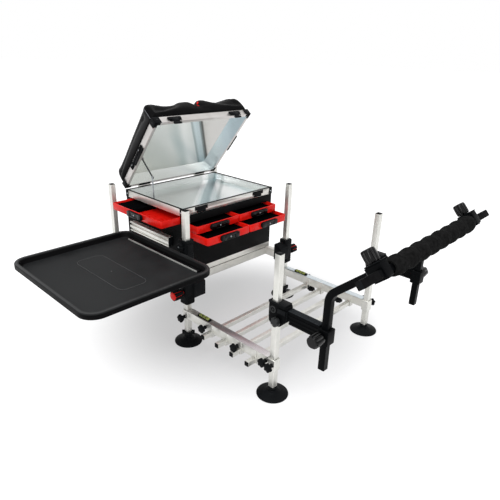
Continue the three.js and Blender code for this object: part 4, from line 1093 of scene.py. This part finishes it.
panel_middle = Matrix.Translation((-505, 59, 330.4))
tray_shapes = [skin([tray_ring(*step) for step in TRAY_LINE]),
               soft_block((-318, -127, 327.8), (-302.5, 258, 336), 1.4),
               skin([panel_ring(*step) for step in [(0, 329.8), (0, 330.2), (0.6, 330.5), (1.2, 330.5)]]),
               turned(lathe([(3.4, 0), (3.2, 0.4), (0.4, 0.6)], 24), panel_middle)]
tray = make_piece("formed_tray", tray_shapes, BOX, TRAY_ABS, "tray")
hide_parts("side_tray")
# The rim's top is a lighter black: a painted highlight.
painted_sheen = [band([tray_ring(*step) for step in [(1.8, 349.7), (1.9, 350.1), (9.4, 350.1), (9.5, 349.7)]])]
make_piece("tray_rim_top", painted_sheen, BOX, HIGHLIGHT_BLACK_ABS, "tray")
# A pale grey strip on the ledge is a painted highlight.
bright = [soft_block((-321, -122, 329.9), (-317.4, 254, 334.6), 0.8)]
make_piece("tray_ledge_strip", bright, BOX, LEDGE_HIGHLIGHT_ABS, "tray")
# The panel's raised border is a paler black: a painted highlight on its edge.
border = [band([panel_ring(*step) for step in [(0.1, 330.2), (0.3, 330.8), (1.1, 330.8), (1.3, 330.2)]]),
          turned(lathe([(2.2, 0), (2.0, 0.3), (0.4, 0.4)], 20), panel_middle @ Matrix.Translation((0, 0, 0.5)))]
make_piece("tray_panel_border", border, BOX, EDGE_HIGHLIGHT_ABS, "tray")
print("tray has", len(tray.data.polygons), "faces")


# %% [markdown]
# ## Mud feet
# Each foot is a wide shallow dish that turns on a ball. A lathe gives its curve:
# a thick rim, a hollow cone, a raised ring and the socket of the ball. The feet
# of the box legs have a winged collar that locks the foot on its leg.

# %% Feet
DISH = [(0.5, 0), (46.5, 0), (48.6, 0.8), (49, 2.2), (48.4, 4.2), (46.8, 5.2), (44.6, 5.6), (38, 8.2), (29, 11.2),
        (20.5, 13.4), (19.2, 14.8), (17.4, 15.2), (14.5, 16.2), (13.2, 18.2), (14.2, 20.2), (14.8, 23), (14.4, 26),
        (13, 27.6), (10.5, 28)]
COLLAR = [(14.6, 28.8, 4), (14.6, 40.5, 4), (14.6 * 0.96, 41.5, 4), (10.9, 41.5, 2.4), (10.9, 28.8, 2.4)]
fin = soft_block((14.6, -2.2, 29.2), (22.5, 2.2, 44), 0.9)
collar = [turned(fin, Matrix.Rotation(math.pi / 4 + k * math.pi / 2, 4, "Z")) for k in range(4)]
collar.append(band([ring_in((-half, -half), (half, half), 0, z, corner, 4) for half, z, corner in COLLAR]))
for name in leg_names:
    low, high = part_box(f"foot_{name}")
    place = Matrix.Translation(((low.x + high.x) / 2, (low.y + high.y) / 2, low.z)) @ Matrix.Scale(MM, 4)
    foot = make_piece(f"mud_foot_{name}", [lathe(DISH, 72)], place, BLACK_ABS, f"foot_{name}")
    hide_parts(f"foot_{name}")
    if name.startswith("box"):
        make_piece(f"winged_collar_{name}", collar, place, BLACK_ABS, f"foot_{name}")
print("feet of", len(leg_names), "legs")

# %% [markdown]
# ## Bracket knobs
# The big knobs that lock the box legs are two mouldings: a red core with a domed
# end, and a black grip of six fingers, between which the red shows.

# %% Red and black bracket knobs
KNOB_OFFSET, BRACKET_KNOB_Z = 26.3, 200
KNOB_CORE = [(7.5, -6.2), (7.5, 1), (12.2, 1.4), (12.8, 3), (13.6, 30), (14.2, 32), (14.4, 35), (13.2, 37.2),
             (9, 38.2), (2, 38.6)]
KNOB_COLLAR = [(8, 0.6), (15.6, 0.9), (16.4, 2), (16.4, 4.6), (15.4, 5.6), (8, 5.8)]
finger = soft_block((10.5, -6.3, 2), (18, 6.3, 34.5), 1.8)
grip_fingers = [turned(finger, Matrix.Rotation(k * math.pi / 3, 4, "Z")) for k in range(6)]
grip_fingers.append(lathe(KNOB_COLLAR, 48))
for quarter in quarters:
    body = f"bracket_knob_{quarter}"
    end_name, side_name = quarter.split("_")
    side = SIDES[side_name]
    middle = (side * (LEG_X + KNOB_OFFSET), ENDS[end_name], BRACKET_KNOB_Z)
    place = BOX @ Matrix.Translation(middle) @ facing(outwards_x(side))
    core = make_piece(f"knob_core_{quarter}", [lathe(KNOB_CORE)], place, RED_ABS, body)
    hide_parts(body)
    make_piece(f"knob_grip_{quarter}", grip_fingers, place, BLACK_ABS, body)
print("bracket knobs", quarters)

# %% [markdown]
# ## Knobs and clamps of the bump bar
# The knobs of the bump bar are fluted, and those that hold the roll and the
# uprights are polished and slip over the plain knobs of the CAD model. The clamps
# on the footplate's front legs have a collar, a round boss and a hand knob. The
# arms have ribs on top, and rubber sleeves close the ends of the roll's bar.

# %% Fluted knobs
def fluted_ring(radius, depth, z, flutes):
    """A ring with its crests in step with the CAD knob's own."""
    ring = knob_ring(radius, lambda a: depth * (0.5 + 0.5 * math.cos(flutes * a)) ** 3, 144)
    return [(x, y, z) for x, y in ring]


def fluted_knob(radius, depth, length, flutes=6):
    """A fluted knob that stands on Z, widest at its middle. Its levels are shares of its sizes."""
    levels = [(0.78, 0.2, 0), (0.93, 0.7, 0.04), (0.985, 1, 0.12), (1.0, 1, 0.45), (0.985, 1, 0.8),
              (0.95, 0.9, 0.9), (0.86, 0.5, 0.965), (0.7, 0.2, 0.99), (0.4, 0.05, 1.0), (0.05, 0, 1.005)]
    return skin([fluted_ring(radius * r, depth * d, length * z, flutes) for r, d, z in levels])


print("a fluted knob has", len(fluted_knob(1, 0.2, 1)[1]), "faces")

# %% Sleeves, knobs and clamps of the roll
SLEEVE_X, SLEEVE_HALF = (294, 363), 10.2
sleeves = [soft_block((side * SLEEVE_X[0], ROLL_BAR_Y - SLEEVE_HALF, ROLL_BAR_Z - SLEEVE_HALF),
                      (side * SLEEVE_X[1], ROLL_BAR_Y + SLEEVE_HALF, ROLL_BAR_Z + SLEEVE_HALF), 1.0)
           for side in SIDES.values()]
make_piece("roll_bar_sleeves", sleeves, ROLL, RUBBER, "roll")
for name, side in SIDES.items():
    place = ROLL @ Matrix.Translation((side * LEG_X, 22.2, 159)) @ facing("y")
    knob = [fluted_knob(18.6, 3.4, 35), lathe([(8.4, -3.4), (10.5, -3), (10.5, 0.6), (9, 1)], 40)]
    make_piece(f"roll_knob_{name}", knob, place, GLOSS_ABS, "bump_uprights")
    middle = side * (LEG_X + 3.75)
    jaw = [soft_block((middle - 13, -23.0, 144), (middle + 13, -20.2, 182), 1.0),
           soft_block((middle - 16.4, 18.6, 141), (middle + 16.4, 21.8, 187), 1.2)]
    make_piece(f"roll_clamp_jaws_{name}", jaw, ROLL, BLACK_ABS, "bump_uprights")
    # The seam is a paler black: a painted highlight on the clamp's edge.
    seam = [soft_block((middle - 15.6, -20, 139.2), (middle + 15.6, 18, 140.6), 0.5)]
    make_piece(f"roll_clamp_edge_{name}", seam, ROLL, EDGE_HIGHLIGHT_ABS, "bump_uprights")
print("roll is held at", [side * LEG_X for side in SIDES.values()], "mm")

# %% Leg clamps, arm ribs and upright clamps
PLATE_LEG_Y = -398.6
CLAMP_FACE = 18
COLLAR_TOP = (316.5, 322.4)
COLLAR_BARS = [((-16, -440), (16, -411)), ((-16, -386), (16, -379.5)), ((-16.5, -413), (-12, -384)),
               ((12, -413), (16.5, -384))]
BOSS_RING = [(11, -1), (11, 1.4), (10.2, 2.2), (7.4, 2.2), (6.6, 1.4), (6.6, -1)]
for name, side in SIDES.items():
    c = side * LEG_X
    face_x = c + side * CLAMP_FACE
    collar = [soft_block((c + x0, y0, COLLAR_TOP[0]), (c + x1, y1, COLLAR_TOP[1]), 0.9)
              for (x0, y0), (x1, y1) in COLLAR_BARS]
    collar.append(soft_block((face_x, PLATE_LEG_Y - 18, 311), (face_x + side * 3.4, PLATE_LEG_Y - 47, 296), 1.2))
    collar.append(soft_block((c - 17, PLATE_LEG_Y - 48.8, 281), (c + 17, PLATE_LEG_Y - 46.6, 309), 0.8))
    out = facing(outwards_x(side))
    boss = BOX @ Matrix.Translation((face_x, PLATE_LEG_Y - 1, 300)) @ out
    knob = BOX @ Matrix.Translation((face_x, PLATE_LEG_Y - 20, 271)) @ out
    make_piece(f"arm_clamp_collar_{name}", collar, BOX, BLACK_ABS, "bump_arms")
    # Boss ring and hand knob are a lighter black: a painted highlight.
    ring = [band([circle(r, z, 36) for r, z in BOSS_RING]),
            lathe([(3.2, -1), (3.2, 1.6), (2.4, 2.2), (0.3, 2.3)], 20)]
    make_piece(f"arm_clamp_boss_{name}", ring, boss, HIGHLIGHT_BLACK_ABS, "bump_arms")
    star = [fluted_knob(14.5, 4.2, 13, 5), lathe([(6, -5), (6.5, -4.6), (6.5, 0.6), (5, 1)], 28)]
    make_piece(f"arm_clamp_knob_{name}", star, knob @ Matrix.Translation((0, 0, 4.2)), HIGHLIGHT_BLACK_ABS, "bump_arms")
    # The ribs get the lighter coat: a painted highlight along them.
    ribs = [soft_block((c + x - 1.3, UPRIGHT_Y + 16.8, 309.2), (c + x + 1.3, PLATE_LEG_Y - 48.6, 311.6), 0.5)
            for x in (-9, -4.5, 0, 4.5, 9)]
    make_piece(f"arm_top_ribs_{name}", ribs, BOX, RIB_HIGHLIGHT_COAT, "bump_arms")
    end_knob = BOX @ Matrix.Translation((c + side * 20.6, UPRIGHT_Y + 4, 285)) @ out
    grip = [fluted_knob(18.9, 2.9, 36.2, 6), lathe([(15.4, 35.2), (14.6, 36.9), (3, 37.2)], 48)]
    make_piece(f"upright_clamp_knob_{name}", grip, end_knob, GLOSS_ABS, "bump_arms")
print("bump bar knobs and clamps done")

# %% [markdown]
# The tray's clamp has a recessed top with a rim, and a small hand knob with a
# zinc screw on its outer face. The leg brackets have ribs on their outer faces.

# %% Tray clamp
CLAMP_RIM = [(17.9, 20.9, 381, 5.4), (17.9, 20.9, 388.6, 5.4), (17.1, 20.1, 389.6, 5.4 - 0.8),
             (14.6, 17.6, 389.6, 5.4 - 3), (14, 17, 387.8, 5.4 - 3.6), (14, 17, 381, 5.4 - 3.6)]
rim_rings = [ring_in((-a, -b), (a, b), 0, z, corner, 4) for a, b, z, corner in CLAMP_RIM]
clamp = [band([[(x - LEG_X, y, z) for x, y, z in ring] for ring in rim_rings]),
         soft_block((-LEG_X - 12, -22.6, 346), (-LEG_X + 12, -20.2, 378), 1.0)]
make_piece("tray_clamp_rim", clamp, BOX, BLACK_ABS, "tray")
screw_place = BOX @ Matrix.Translation((-LEG_X - 17.4, 0, 368)) @ facing("-x")
knob_place = screw_place @ Matrix.Translation((0, 0, 2.4))
make_piece("tray_clamp_knob", [fluted_knob(13, 3.8, 12, 5)], knob_place, BLACK_ABS, "tray")
clamp_screw = [lathe([(5.5, -1), (5.5, 2.6), (3, 2.8)], 24),
               lathe([(3.2, 14.2), (3.2, 15.4), (2, 16), (0.3, 16.1)], 20)]
make_piece("tray_clamp_screw", clamp_screw, screw_place, DULL_ZINC, "tray")
print("tray clamp's rim has", len(clamp[0][1]), "faces")

# %% Ribs of the leg brackets
RIB_HEIGHTS, SIDE_RIB_HEIGHTS = (163, 172, 181, 232, 241, 250), (160, 246)
BRACKET_FACE = 19.6
for quarter in quarters:
    end_name, side_name = quarter.split("_")
    side, y = SIDES[side_name], ENDS[end_name]
    c = side * LEG_X
    way = -1 if end_name == "front" else 1
    ribs = [soft_block((c - 14, y + way * BRACKET_FACE, z), (c + 14, y + way * 21.2, z + 3.4), 0.6)
            for z in RIB_HEIGHTS]
    ribs += [soft_block((c + side * BRACKET_FACE, y - 13, z), (c + side * 21.4, y + 13, z + 5), 0.6)
             for z in SIDE_RIB_HEIGHTS]
    make_piece(f"bracket_ribs_{quarter}", ribs, BOX, BLACK_ABS, "box")
print("ribs on", len(quarters), "brackets")

# %% [markdown]
# ## Trim of the lid and the rim
# Black corner boots cap the four corners of the lid's band and of the rim.
# Hinge leaves, keepers, two latches and two long side catches are black too.

# %% Corner boots
def corner_plate(corner, ways, past, reach, heights, edge):
    """A flat plate on a corner: it stands a little past it on both sides and reaches back from it."""
    (x, y), (x_way, y_way) = corner, ways
    return soft_block((x + x_way * past, y + y_way * past, heights[0]),
                      (x - x_way * reach[0], y - y_way * reach[1], heights[1]), edge)


def corner_boot(corner, ways, wall, reach, heights):
    """An angle round an upright corner: two walls that meet outside it."""
    (x, y), (x_way, y_way), (low, high) = corner, ways, heights
    return [soft_block((x + x_way * wall, y, low), (x - x_way * reach, y + y_way * wall, high), 0.5),
            soft_block((x, y + y_way * wall, low), (x + x_way * wall, y - y_way * reach, high), 0.5)]


boots, lid_boots = [], []
for x_way in (-1, 1):
    for y_way, box_y, lid_y in ((-1, BOX_FRONT, LID_FRONT), (1, BOX_REAR, LID_REAR)):
        corner, lid_corner, ways = (x_way * BOX_HALF, box_y), (x_way * BOX_HALF, lid_y), (x_way, y_way)
        boots += corner_boot(corner, ways, 1.5, 14, (442.2, 467.4))
        boots.append(corner_plate(corner, ways, 1.5, (9, 9), (466.4, 468.7), 0.6))
        lid_boots += corner_boot(lid_corner, ways, 2.2, 25, (0.1, 25.6))
        lid_boots += [corner_plate(lid_corner, ways, 1.8, reach, (0.04, 1.2), 0.4)
                      for reach in ((22, 11.6), (11.6, 22))]
make_piece("rim_corner_boots", boots, BOX, BLACK_ABS, "box")
make_piece("lid_corner_boots", lid_boots, LID, BLACK_ABS, "lid")
print("corner boots of", len(boots), "and", len(lid_boots), "blocks")

# %% [markdown]
# The lid is lined with a shallow pan of bright sheet. Its floor lies just under
# the lid's roof and its sides slope out to the band, steeply on the left where
# the stay folds in beside it.

# %% Lid liner
LINER_FLOOR = ((-208.6, -313), (153, -54))
LINER_MOUTH = ((-212.7, -330.2), (212.7, -16.8))


def liner_ring(corners, radius, inset, height):
    return ring_in(*corners, inset, height, radius, 6)


liner_floor = skin([liner_ring(LINER_FLOOR, 12, 0, 21.7), liner_ring(LINER_FLOOR, 12, 0, 22.3)])
make_piece("lid_liner_floor", [liner_floor], LID, LID_SHEET, "lid")
liner_edge = band([liner_ring(LINER_MOUTH, 3, 0, 0.9), liner_ring(LINER_FLOOR, 11, 1, 21.6),
                   liner_ring(LINER_FLOOR, 12, 0, 22.3), liner_ring(LINER_MOUTH, 3, 0, 1.9)])
make_piece("lid_liner_edge", [liner_edge], LID, LID_EDGE, "lid")
print("lid liner's floor is", LINER_FLOOR[1][0] - LINER_FLOOR[0][0], "mm wide")

# %% [markdown]
# The lid's hardware is a list of small moulded blocks. Where both sides have the
# same ones, they are written once, for the right side or for a middle, and a
# loop makes the others.

# %% Hinge leaves and keepers
HINGE_X, LATCH_X = 140, 143
leaves, lid_leaves, keepers = [], [], []
for centre in (-HINGE_X, HINGE_X):
    leaves += [soft_block((centre + way * 12.2, 400.6, 449.5), (centre + way * 27, 402.6, 464.6), 0.6)
               for way in (-1, 1)]
    lid_leaves += [soft_block((centre - 10.6, -2.2, 4.6), (centre + 10.6, 1.4, 21), 0.7),
                   soft_block((centre - 27, -16.3, 0.04), (centre + 27, -4.4, 0.9), 0.3)]
for centre in (-LATCH_X, LATCH_X):
    keepers += [soft_block((centre - 28.6, 56.3, 453.5), (centre + 28.6, 59.3, 466.1), 0.4),
                soft_block((centre - 20, 56.0, 444), (centre + 20, 59.3, 454.5), 0.8)]
make_piece("hinge_leaves_box", leaves, BOX, BLACK_ABS, "box")
make_piece("hinge_leaves_lid", lid_leaves, LID, BLACK_ABS, "lid")
make_piece("latch_keepers", keepers, BOX, BLACK_ABS, "box")
print(len(leaves) + len(lid_leaves), "hinge leaves and", len(keepers), "blocks of keepers")

# %% Groove strips and side catches
STRIP_HALF, STRIP_Z = 224, (214.8, 216.1)
grooves = [soft_block((-STRIP_HALF, y, STRIP_Z[0]), (STRIP_HALF, y + 0.7, STRIP_Z[1]), 0.2) for y in (60.1, 396.0)]
make_piece("rail_groove_strips", grooves, BOX, RUBBER, "box")
CATCH = [((225.2, -221, 4.5), (229.4, -103, 20.5), 1.2), ((225.2, -221, -1.5), (230.8, -134, 8), 1.2),
         ((228.6, -214, 7), (233.4, -188, 18), 1.4), ((228.6, -136, 7), (233.4, -110, 18), 1.4),
         ((228.6, -190, 9.5), (231.8, -134, 15.5), 1.0)]
catches = [soft_block((side * one[0], *one[1:]), (side * other[0], *other[1:]), edge)
           for side in (-1, 1) for one, other, edge in CATCH]
make_piece("lid_side_catches", catches, LID, BLACK_ABS, "lid")
print(len(grooves), "groove strips and", len(catches), "blocks of side catches")

# %% Latches
LATCH = [((-28, -349.6, 4.5), (28, -343.4, 17.5), 2.4), ((-13, -349.8, -15.5), (13, -346.2, 12.5), 1.1),
         ((-17.5, -350.8, -15.5), (17.5, -346.4, -7.5), 1.4), ((-26, -348.4, -1.8), (-11, -345.8, 1.6), 0.7),
         ((11, -348.4, -1.8), (26, -345.8, 1.6), 0.7), ((-9, -350.8, -5), (9, -349.2, 8), 0.6)]
for name, side in SIDES.items():
    c = side * LATCH_X
    latch = [soft_block((c + one[0], *one[1:]), (c + other[0], *other[1:]), edge) for one, other, edge in LATCH]
    pin = turned(lathe([(1.0, -29), (1.5, -28.4), (1.5, 28.4), (1.0, 29)], 20),
                 Matrix.Translation((c, -346.3, 14.5)) @ facing("x"))
    lever = make_piece(f"latch_lever_{name}", latch, LID, BLACK_ABS, f"latch_{name}")
    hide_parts(f"lid_latch_{name}")
    make_piece(f"latch_pin_{name}", [pin], LID, BLACK_ZINC, f"latch_{name}")
print("latches at", [side * LATCH_X for side in SIDES.values()], "mm")

# %% [markdown]
# ## Foam liners, rail ends and level vials
# The front drawers are lined with black foam and the side drawer with foam in
# its rear third. The accessory rail has a dark cap at each end. Two small spirit
# levels sit on the footplate's side rails, between bright strips.

# %% Drawer liners
DRAWER_ROWS = {"lower": (359.0, 100.4), "upper": (386.7, 48.4)}
for row, (z, pulled) in DRAWER_ROWS.items():
    for name, side in SIDES.items():
        face = BOX_FRONT - pulled
        liner = soft_block((side * 3.4, face + 4.3, z + 1.8), (side * 199.2, face + 227.7, z + 13.5), 1.2, 6)
        make_piece(f"drawer_liner_{row}_{name}", [liner], BOX, LINER_FOAM, f"drawer_{row}_{name}")
liner = soft_block((-300.7, 262, 416.2), (-57.3, 365.6, 431), 1.2, 6)
make_piece("drawer_liner_side", [liner], BOX, LINER_FOAM, "drawer_side")
print("liners in", len(drawer_names), "drawers")

# %% Rail caps
caps = []
for y, way in ((117.4, "-y"), (355.4, "y")):
    caps.append(soft_block((-244.4, y - 0.9, 321.6), (-226.4, y + 0.9, 355), 0.4))
    caps.append(turned(lathe([(6.6, -1.4), (7.2, -1), (7.2, 1), (6.6, 1.5), (0.3, 1.6)], 32),
                       Matrix.Translation((-237, y, 345)) @ facing(way)))
make_piece("accessory_rail_caps", caps, BOX, BLACK_ABS, "box")
print("accessory rail has", len(caps) // 2, "caps")

# %% Level vials and rail strips
LEVEL_Y, LEVEL_Z = (-118, -60), 134
for name, side in SIDES.items():
    c = side * LEG_X
    low, high = LEVEL_Y
    middle, half = (low + high) / 2, (high - low) / 2 - 5
    lying = Matrix.Translation((c, middle, LEVEL_Z)) @ facing("y")
    frame_shapes = [soft_block((c - 8.6, low, 129.9), (c + 8.6, high, 131.2), 0.4),
                    soft_block((c - 6, low, 131), (c + 6, low + 5, 136.6), 0.9),
                    soft_block((c - 6, high - 5, 131), (c + 6, high, 136.6), 0.9)]
    make_piece(f"level_frame_{name}", frame_shapes, BOX, BLACK_ABS, "footplate")
    glass = [turned(lathe([(1, -half), (4.9, 0.6 - half), (5.6, 2 - half), (5.6, half - 2), (4.9, half - 0.6),
                           (1, half)], 28), lying)]
    make_piece(f"level_vial_{name}", glass, BOX, VIAL, "footplate")
    marks = [turned(lathe([(5.65, at - 1), (5.9, at - 0.8), (5.9, at + 0.8), (5.65, at + 1)], 28), lying)
             for at in (-9, 7)]
    make_piece(f"level_marks_{name}", marks, BOX, BLACK_ABS, "footplate")
    strip = [soft_block((c - 12.6, -384, 129.6), (c + 12.6, -12, 130.4), 0.2, 0.6)]
    make_piece(f"rail_top_strip_{name}", strip, BOX, STRIP if name == "left" else ZINC, "footplate")
print("levels from", LEVEL_Y[0], "to", LEVEL_Y[1], "mm in front of the box")

# %% [markdown]
# ## Screws, piping and stitches
# Pan head screws hold the trim. A red piping runs down the middle channel of the
# seat and over its notch, and a row of stitches follows the seam round its top.

# %% Screws
SCREW_HEAD = [(2.6, -0.4), (2.6, 0.3), (2.3, 1.0), (1.5, 1.45), (0.9, 1.5), (0.8, 0.9), (0.2, 0.8)]
RIM_SCREW_Z, LID_SCREW_Z = 454.5, 12.5
screw = part_to_copy("screw_part", [lathe(SCREW_HEAD, 20)])
box_screws, boot_screws, lid_screws = [], [], []
for x_way in (-1, 1):
    x_face = outwards_x(x_way)
    for y_way, y_face, box_y, lid_y in ((-1, "-y", BOX_FRONT, LID_FRONT), (1, "y", BOX_REAR, LID_REAR)):
        box_screws += [place_of(BOX, x_way * 218, box_y + y_way * 1.3, RIM_SCREW_Z, y_face),
                       place_of(BOX, x_way * 226.3, box_y - y_way * 7, RIM_SCREW_Z, x_face)]
        boot_screws += [place_of(LID, x_way * 214, lid_y + y_way * 2, LID_SCREW_Z, y_face),
                        place_of(LID, x_way * 227, lid_y - y_way * 11, LID_SCREW_Z, x_face)]
    lid_screws += [place_of(LID, x_way * 233.3, y, LID_SCREW_Z, x_face) for y in (-201, -123)]
for centre in (-HINGE_X, HINGE_X):
    for way in (-1, 1):
        box_screws.append(place_of(BOX, centre + way * 19.6, 402.6, 457, "y"))
        lid_screws.append(place_of(LID, centre + way * 6, 1.3, 15.5, "y"))
repeat_part("box_screws", screw, box_screws, ZINC, "box")
repeat_part("lid_screws", screw, lid_screws, DULL_ZINC, "lid")
repeat_part("lid_boot_screws", screw, boot_screws, BLACK_ZINC, "lid")
print(len(box_screws) + len(lid_screws) + len(boot_screws), "screws")

# %% [markdown]
# A drawer pull has a raised plate with a stepped grip at each end, and a bright
# screw in its middle.

# %% Drawer pulls
PULL_PLATE = [((-42.5, -8.8, 0), (42.5, 8.8, 1.3), 0.5), ((-41, -9.4, 0.4), (-21, 9.4, 2.9), 0.9),
              ((21, -9.4, 0.4), (41, 9.4, 2.9), 0.9), ((-21, 5.2, 0.4), (21, 9.4, 3.4), 0.8),
              ((-21, -9.2, 0.4), (21, -6.4, 2.2), 0.6)]
PULL_X, PULL_STANDS_OUT, PULL_UP = (1.1 + 201.5) / 2, 6.0, 13
pull_plate = [soft_block(*block) for block in PULL_PLATE]
pull_screw = [lathe([(3.4, 0.4), (3.4, 1.6), (2.8, 2.4), (1.4, 2.7), (1.0, 2.0), (0.2, 1.9)], 24)]
PULLS = {f"{row}_{name}": ((side * PULL_X, BOX_FRONT - pulled - PULL_STANDS_OUT, z + PULL_UP), "-y", 0)
         for row, (z, pulled) in DRAWER_ROWS.items() for name, side in SIDES.items()}
PULLS["side"] = ((-311.0, 220.4, 426.4), "-x", math.pi / 2)
for name, (spot, way, spin) in PULLS.items():
    place = BOX @ Matrix.Translation(spot) @ facing(way) @ Matrix.Rotation(spin, 4, "Z")
    make_piece(f"pull_plate_{name}", pull_plate, place, GLOSS_ABS, f"drawer_pull_{name}")
    make_piece(f"pull_screw_{name}", pull_screw, place, DULL_ZINC, f"drawer_pull_{name}")
print(len(PULLS), "drawer pulls")

# %% [markdown]
# Stitches follow a line at an even pitch, which is a rule for Geometry Nodes too:
# the line becomes points, and each point gets a stretched ball of thread.

# %% Tree for stitches along a line
def stitch_tree():
    tree, given = start_tree("stitches_on_line", {"Pitch": 0.006, "Length": 0.0042, "Radius": 0.0006})
    line = node(tree, "GeometryNodeMeshToCurve", {"Mesh": given["Geometry"]})
    points = node(tree, "GeometryNodeCurveToPoints", {"Curve": line.outputs[0], "Length": given["Pitch"]},
                  mode="LENGTH")
    stitch = node(tree, "GeometryNodeMeshUVSphere", {"Segments": 8, "Rings": 6, "Radius": given["Radius"]})
    ratio = node(tree, "ShaderNodeMath", {0: given["Length"], 1: given["Radius"]}, operation="DIVIDE")
    half = node(tree, "ShaderNodeMath", {0: ratio.outputs[0], 1: 0.5}, operation="MULTIPLY")
    scale = node(tree, "ShaderNodeCombineXYZ", {0: 1.0, 1: 1.0, 2: half.outputs[0]})
    copies = node(tree, "GeometryNodeInstanceOnPoints", {
        "Points": points.outputs["Points"], "Instance": stitch.outputs[0],
        "Rotation": points.outputs["Rotation"], "Scale": scale.outputs[0]})
    return end_tree(tree, copies.outputs[0], given["Finish"])


STITCHES = stitch_tree()
print("tree", STITCHES.name, "has", len(STITCHES.nodes), "nodes")

# %% [markdown]
# The stitches and the piping lie on the finished seat, so their lines are dropped
# on it with a ray from above, in the lid's own frame. Two pale tubes run up the
# front corners, where the cover is pulled round them: painted highlights of its folds.

# %% Piping and painted fold highlights of the seat
to_lid = LID.inverted()
seat_points = [to_lid @ v.co for v in pad.data.vertices]
seat_surface = BVHTree.FromPolygons(seat_points, [tuple(p.vertices) for p in pad.data.polygons])


TUBE_SIDES = 12
ABOVE_SEAT = 400
NOTCH_STEPS = 6


def on_seat(x, y, lift):
    hit = seat_surface.ray_cast(Vector((x, y, ABOVE_SEAT)), Vector((0, 0, -1)))
    return Vector((x, y, hit[0].z + lift)) if hit[0] else None


def line_on_seat(spots, lift):
    return [LID @ p for p in (on_seat(x, y, lift) for x, y in spots) if p]


def tube_along(points, radius):
    angles = [2 * math.pi * k / TUBE_SIDES for k in range(TUBE_SIDES)]
    rings = []
    for i, point in enumerate(points):
        ahead = points[min(i + 1, len(points) - 1)] - points[max(i - 1, 0)]
        ahead.normalize()
        side = ahead.cross(Vector((1, 0, 0))).normalized()
        other = ahead.cross(side)
        rings.append([tuple(point + radius * (math.cos(a) * side + math.sin(a) * other)) for a in angles])
    return skin(rings)


notch_low, notch_high = on_seat(-2, PAD_FRONT + 8, 2).z, on_seat(9, PAD_FRONT + 8, -1).z
notch = [LID @ Vector((-5 + 9 * (i / NOTCH_STEPS) ** 2, PAD_FRONT + 1.5,
                       notch_low + (notch_high - notch_low) * i / NOTCH_STEPS)) for i in range(NOTCH_STEPS + 1)]
make_piece("seat_notch_piping", [tube_along(notch, 2.6 * MM)], Matrix(), RED_VINYL, "lid")
fold_highlights = []
for side in (-1, 1):
    inwards = Vector((-side, 1, 0)).normalized()
    hits = [seat_surface.ray_cast(Vector((side * 286, -394, 29 + 3.9 * i)), inwards)[0] for i in range(13)]
    fold_highlights.append(tube_along([LID @ (p - 0.3 * inwards) for p in hits if p], 1.2 * MM))
make_piece("seat_corner_folds", fold_highlights, Matrix(), VINYL_FOLD_HIGHLIGHT, "lid")
channel = line_on_seat([(0, PAD_REAR - 6 - i * 4.0) for i in range(86)], 0.6)
make_piece("seat_piping", [tube_along(channel, 2.4 * MM)], Matrix(), RED_VINYL, "lid")
print("piping follows", len(channel), "points and", len(fold_highlights), "folds run up the corners")

# %% Stitches on the seat
SEAM_STEP = 3.0
CHANNEL_SEAMS, MIDDLE_SEAMS = (-131, -119, 119, 131), (-6.5, 6.5)


def seam_spots(inset):
    outline = rounded_outline((-PAD_HALF + inset, PAD_FRONT + inset), (PAD_HALF - inset, PAD_REAR - inset),
                              max(PAD_CORNER - inset, 10), 10)
    spots = []
    for a, b in zip(outline, outline[1:] + outline[:1]):
        steps = max(int(math.dist(a, b) / SEAM_STEP), 1)
        spots += [(a[0] + (b[0] - a[0]) * k / steps, a[1] + (b[1] - a[1]) * k / steps) for k in range(steps)]
    return spots


def stitches(name, lines):
    mesh = bpy.data.meshes.new(name)
    points, edges = [], []
    for line, closed in lines:
        start = len(points)
        points += [tuple(p) for p in line]
        edges += [(start + i, start + i + 1) for i in range(len(line) - 1)]
        if closed:
            edges.append((len(points) - 1, start))
    mesh.from_pydata(points, edges, [])
    piece = grown(name, mesh, STITCHES, {"Finish": THREAD})
    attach(piece, "lid")
    return piece


seam_lines = [(line_on_seat(seam_spots(PAD_SEAM_INSET + 3.5), 0.2), True)]
for places, start, steps in ((CHANNEL_SEAMS, 30, 98), (MIDDLE_SEAMS, 22, 104)):
    for x in places:
        spots = [(x, PAD_REAR - start - i * SEAM_STEP) for i in range(steps)]
        seam_lines.append((line_on_seat(spots, 0.2), False))
thread = stitches("seat_stitches", seam_lines)
print("stitches:", len(thread.data.polygons), "faces")

# %% Sizes and finish
for part in (leg_plug, bar_plug, thumb_knob, screw):
    bpy.data.objects.remove(part)
low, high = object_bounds()
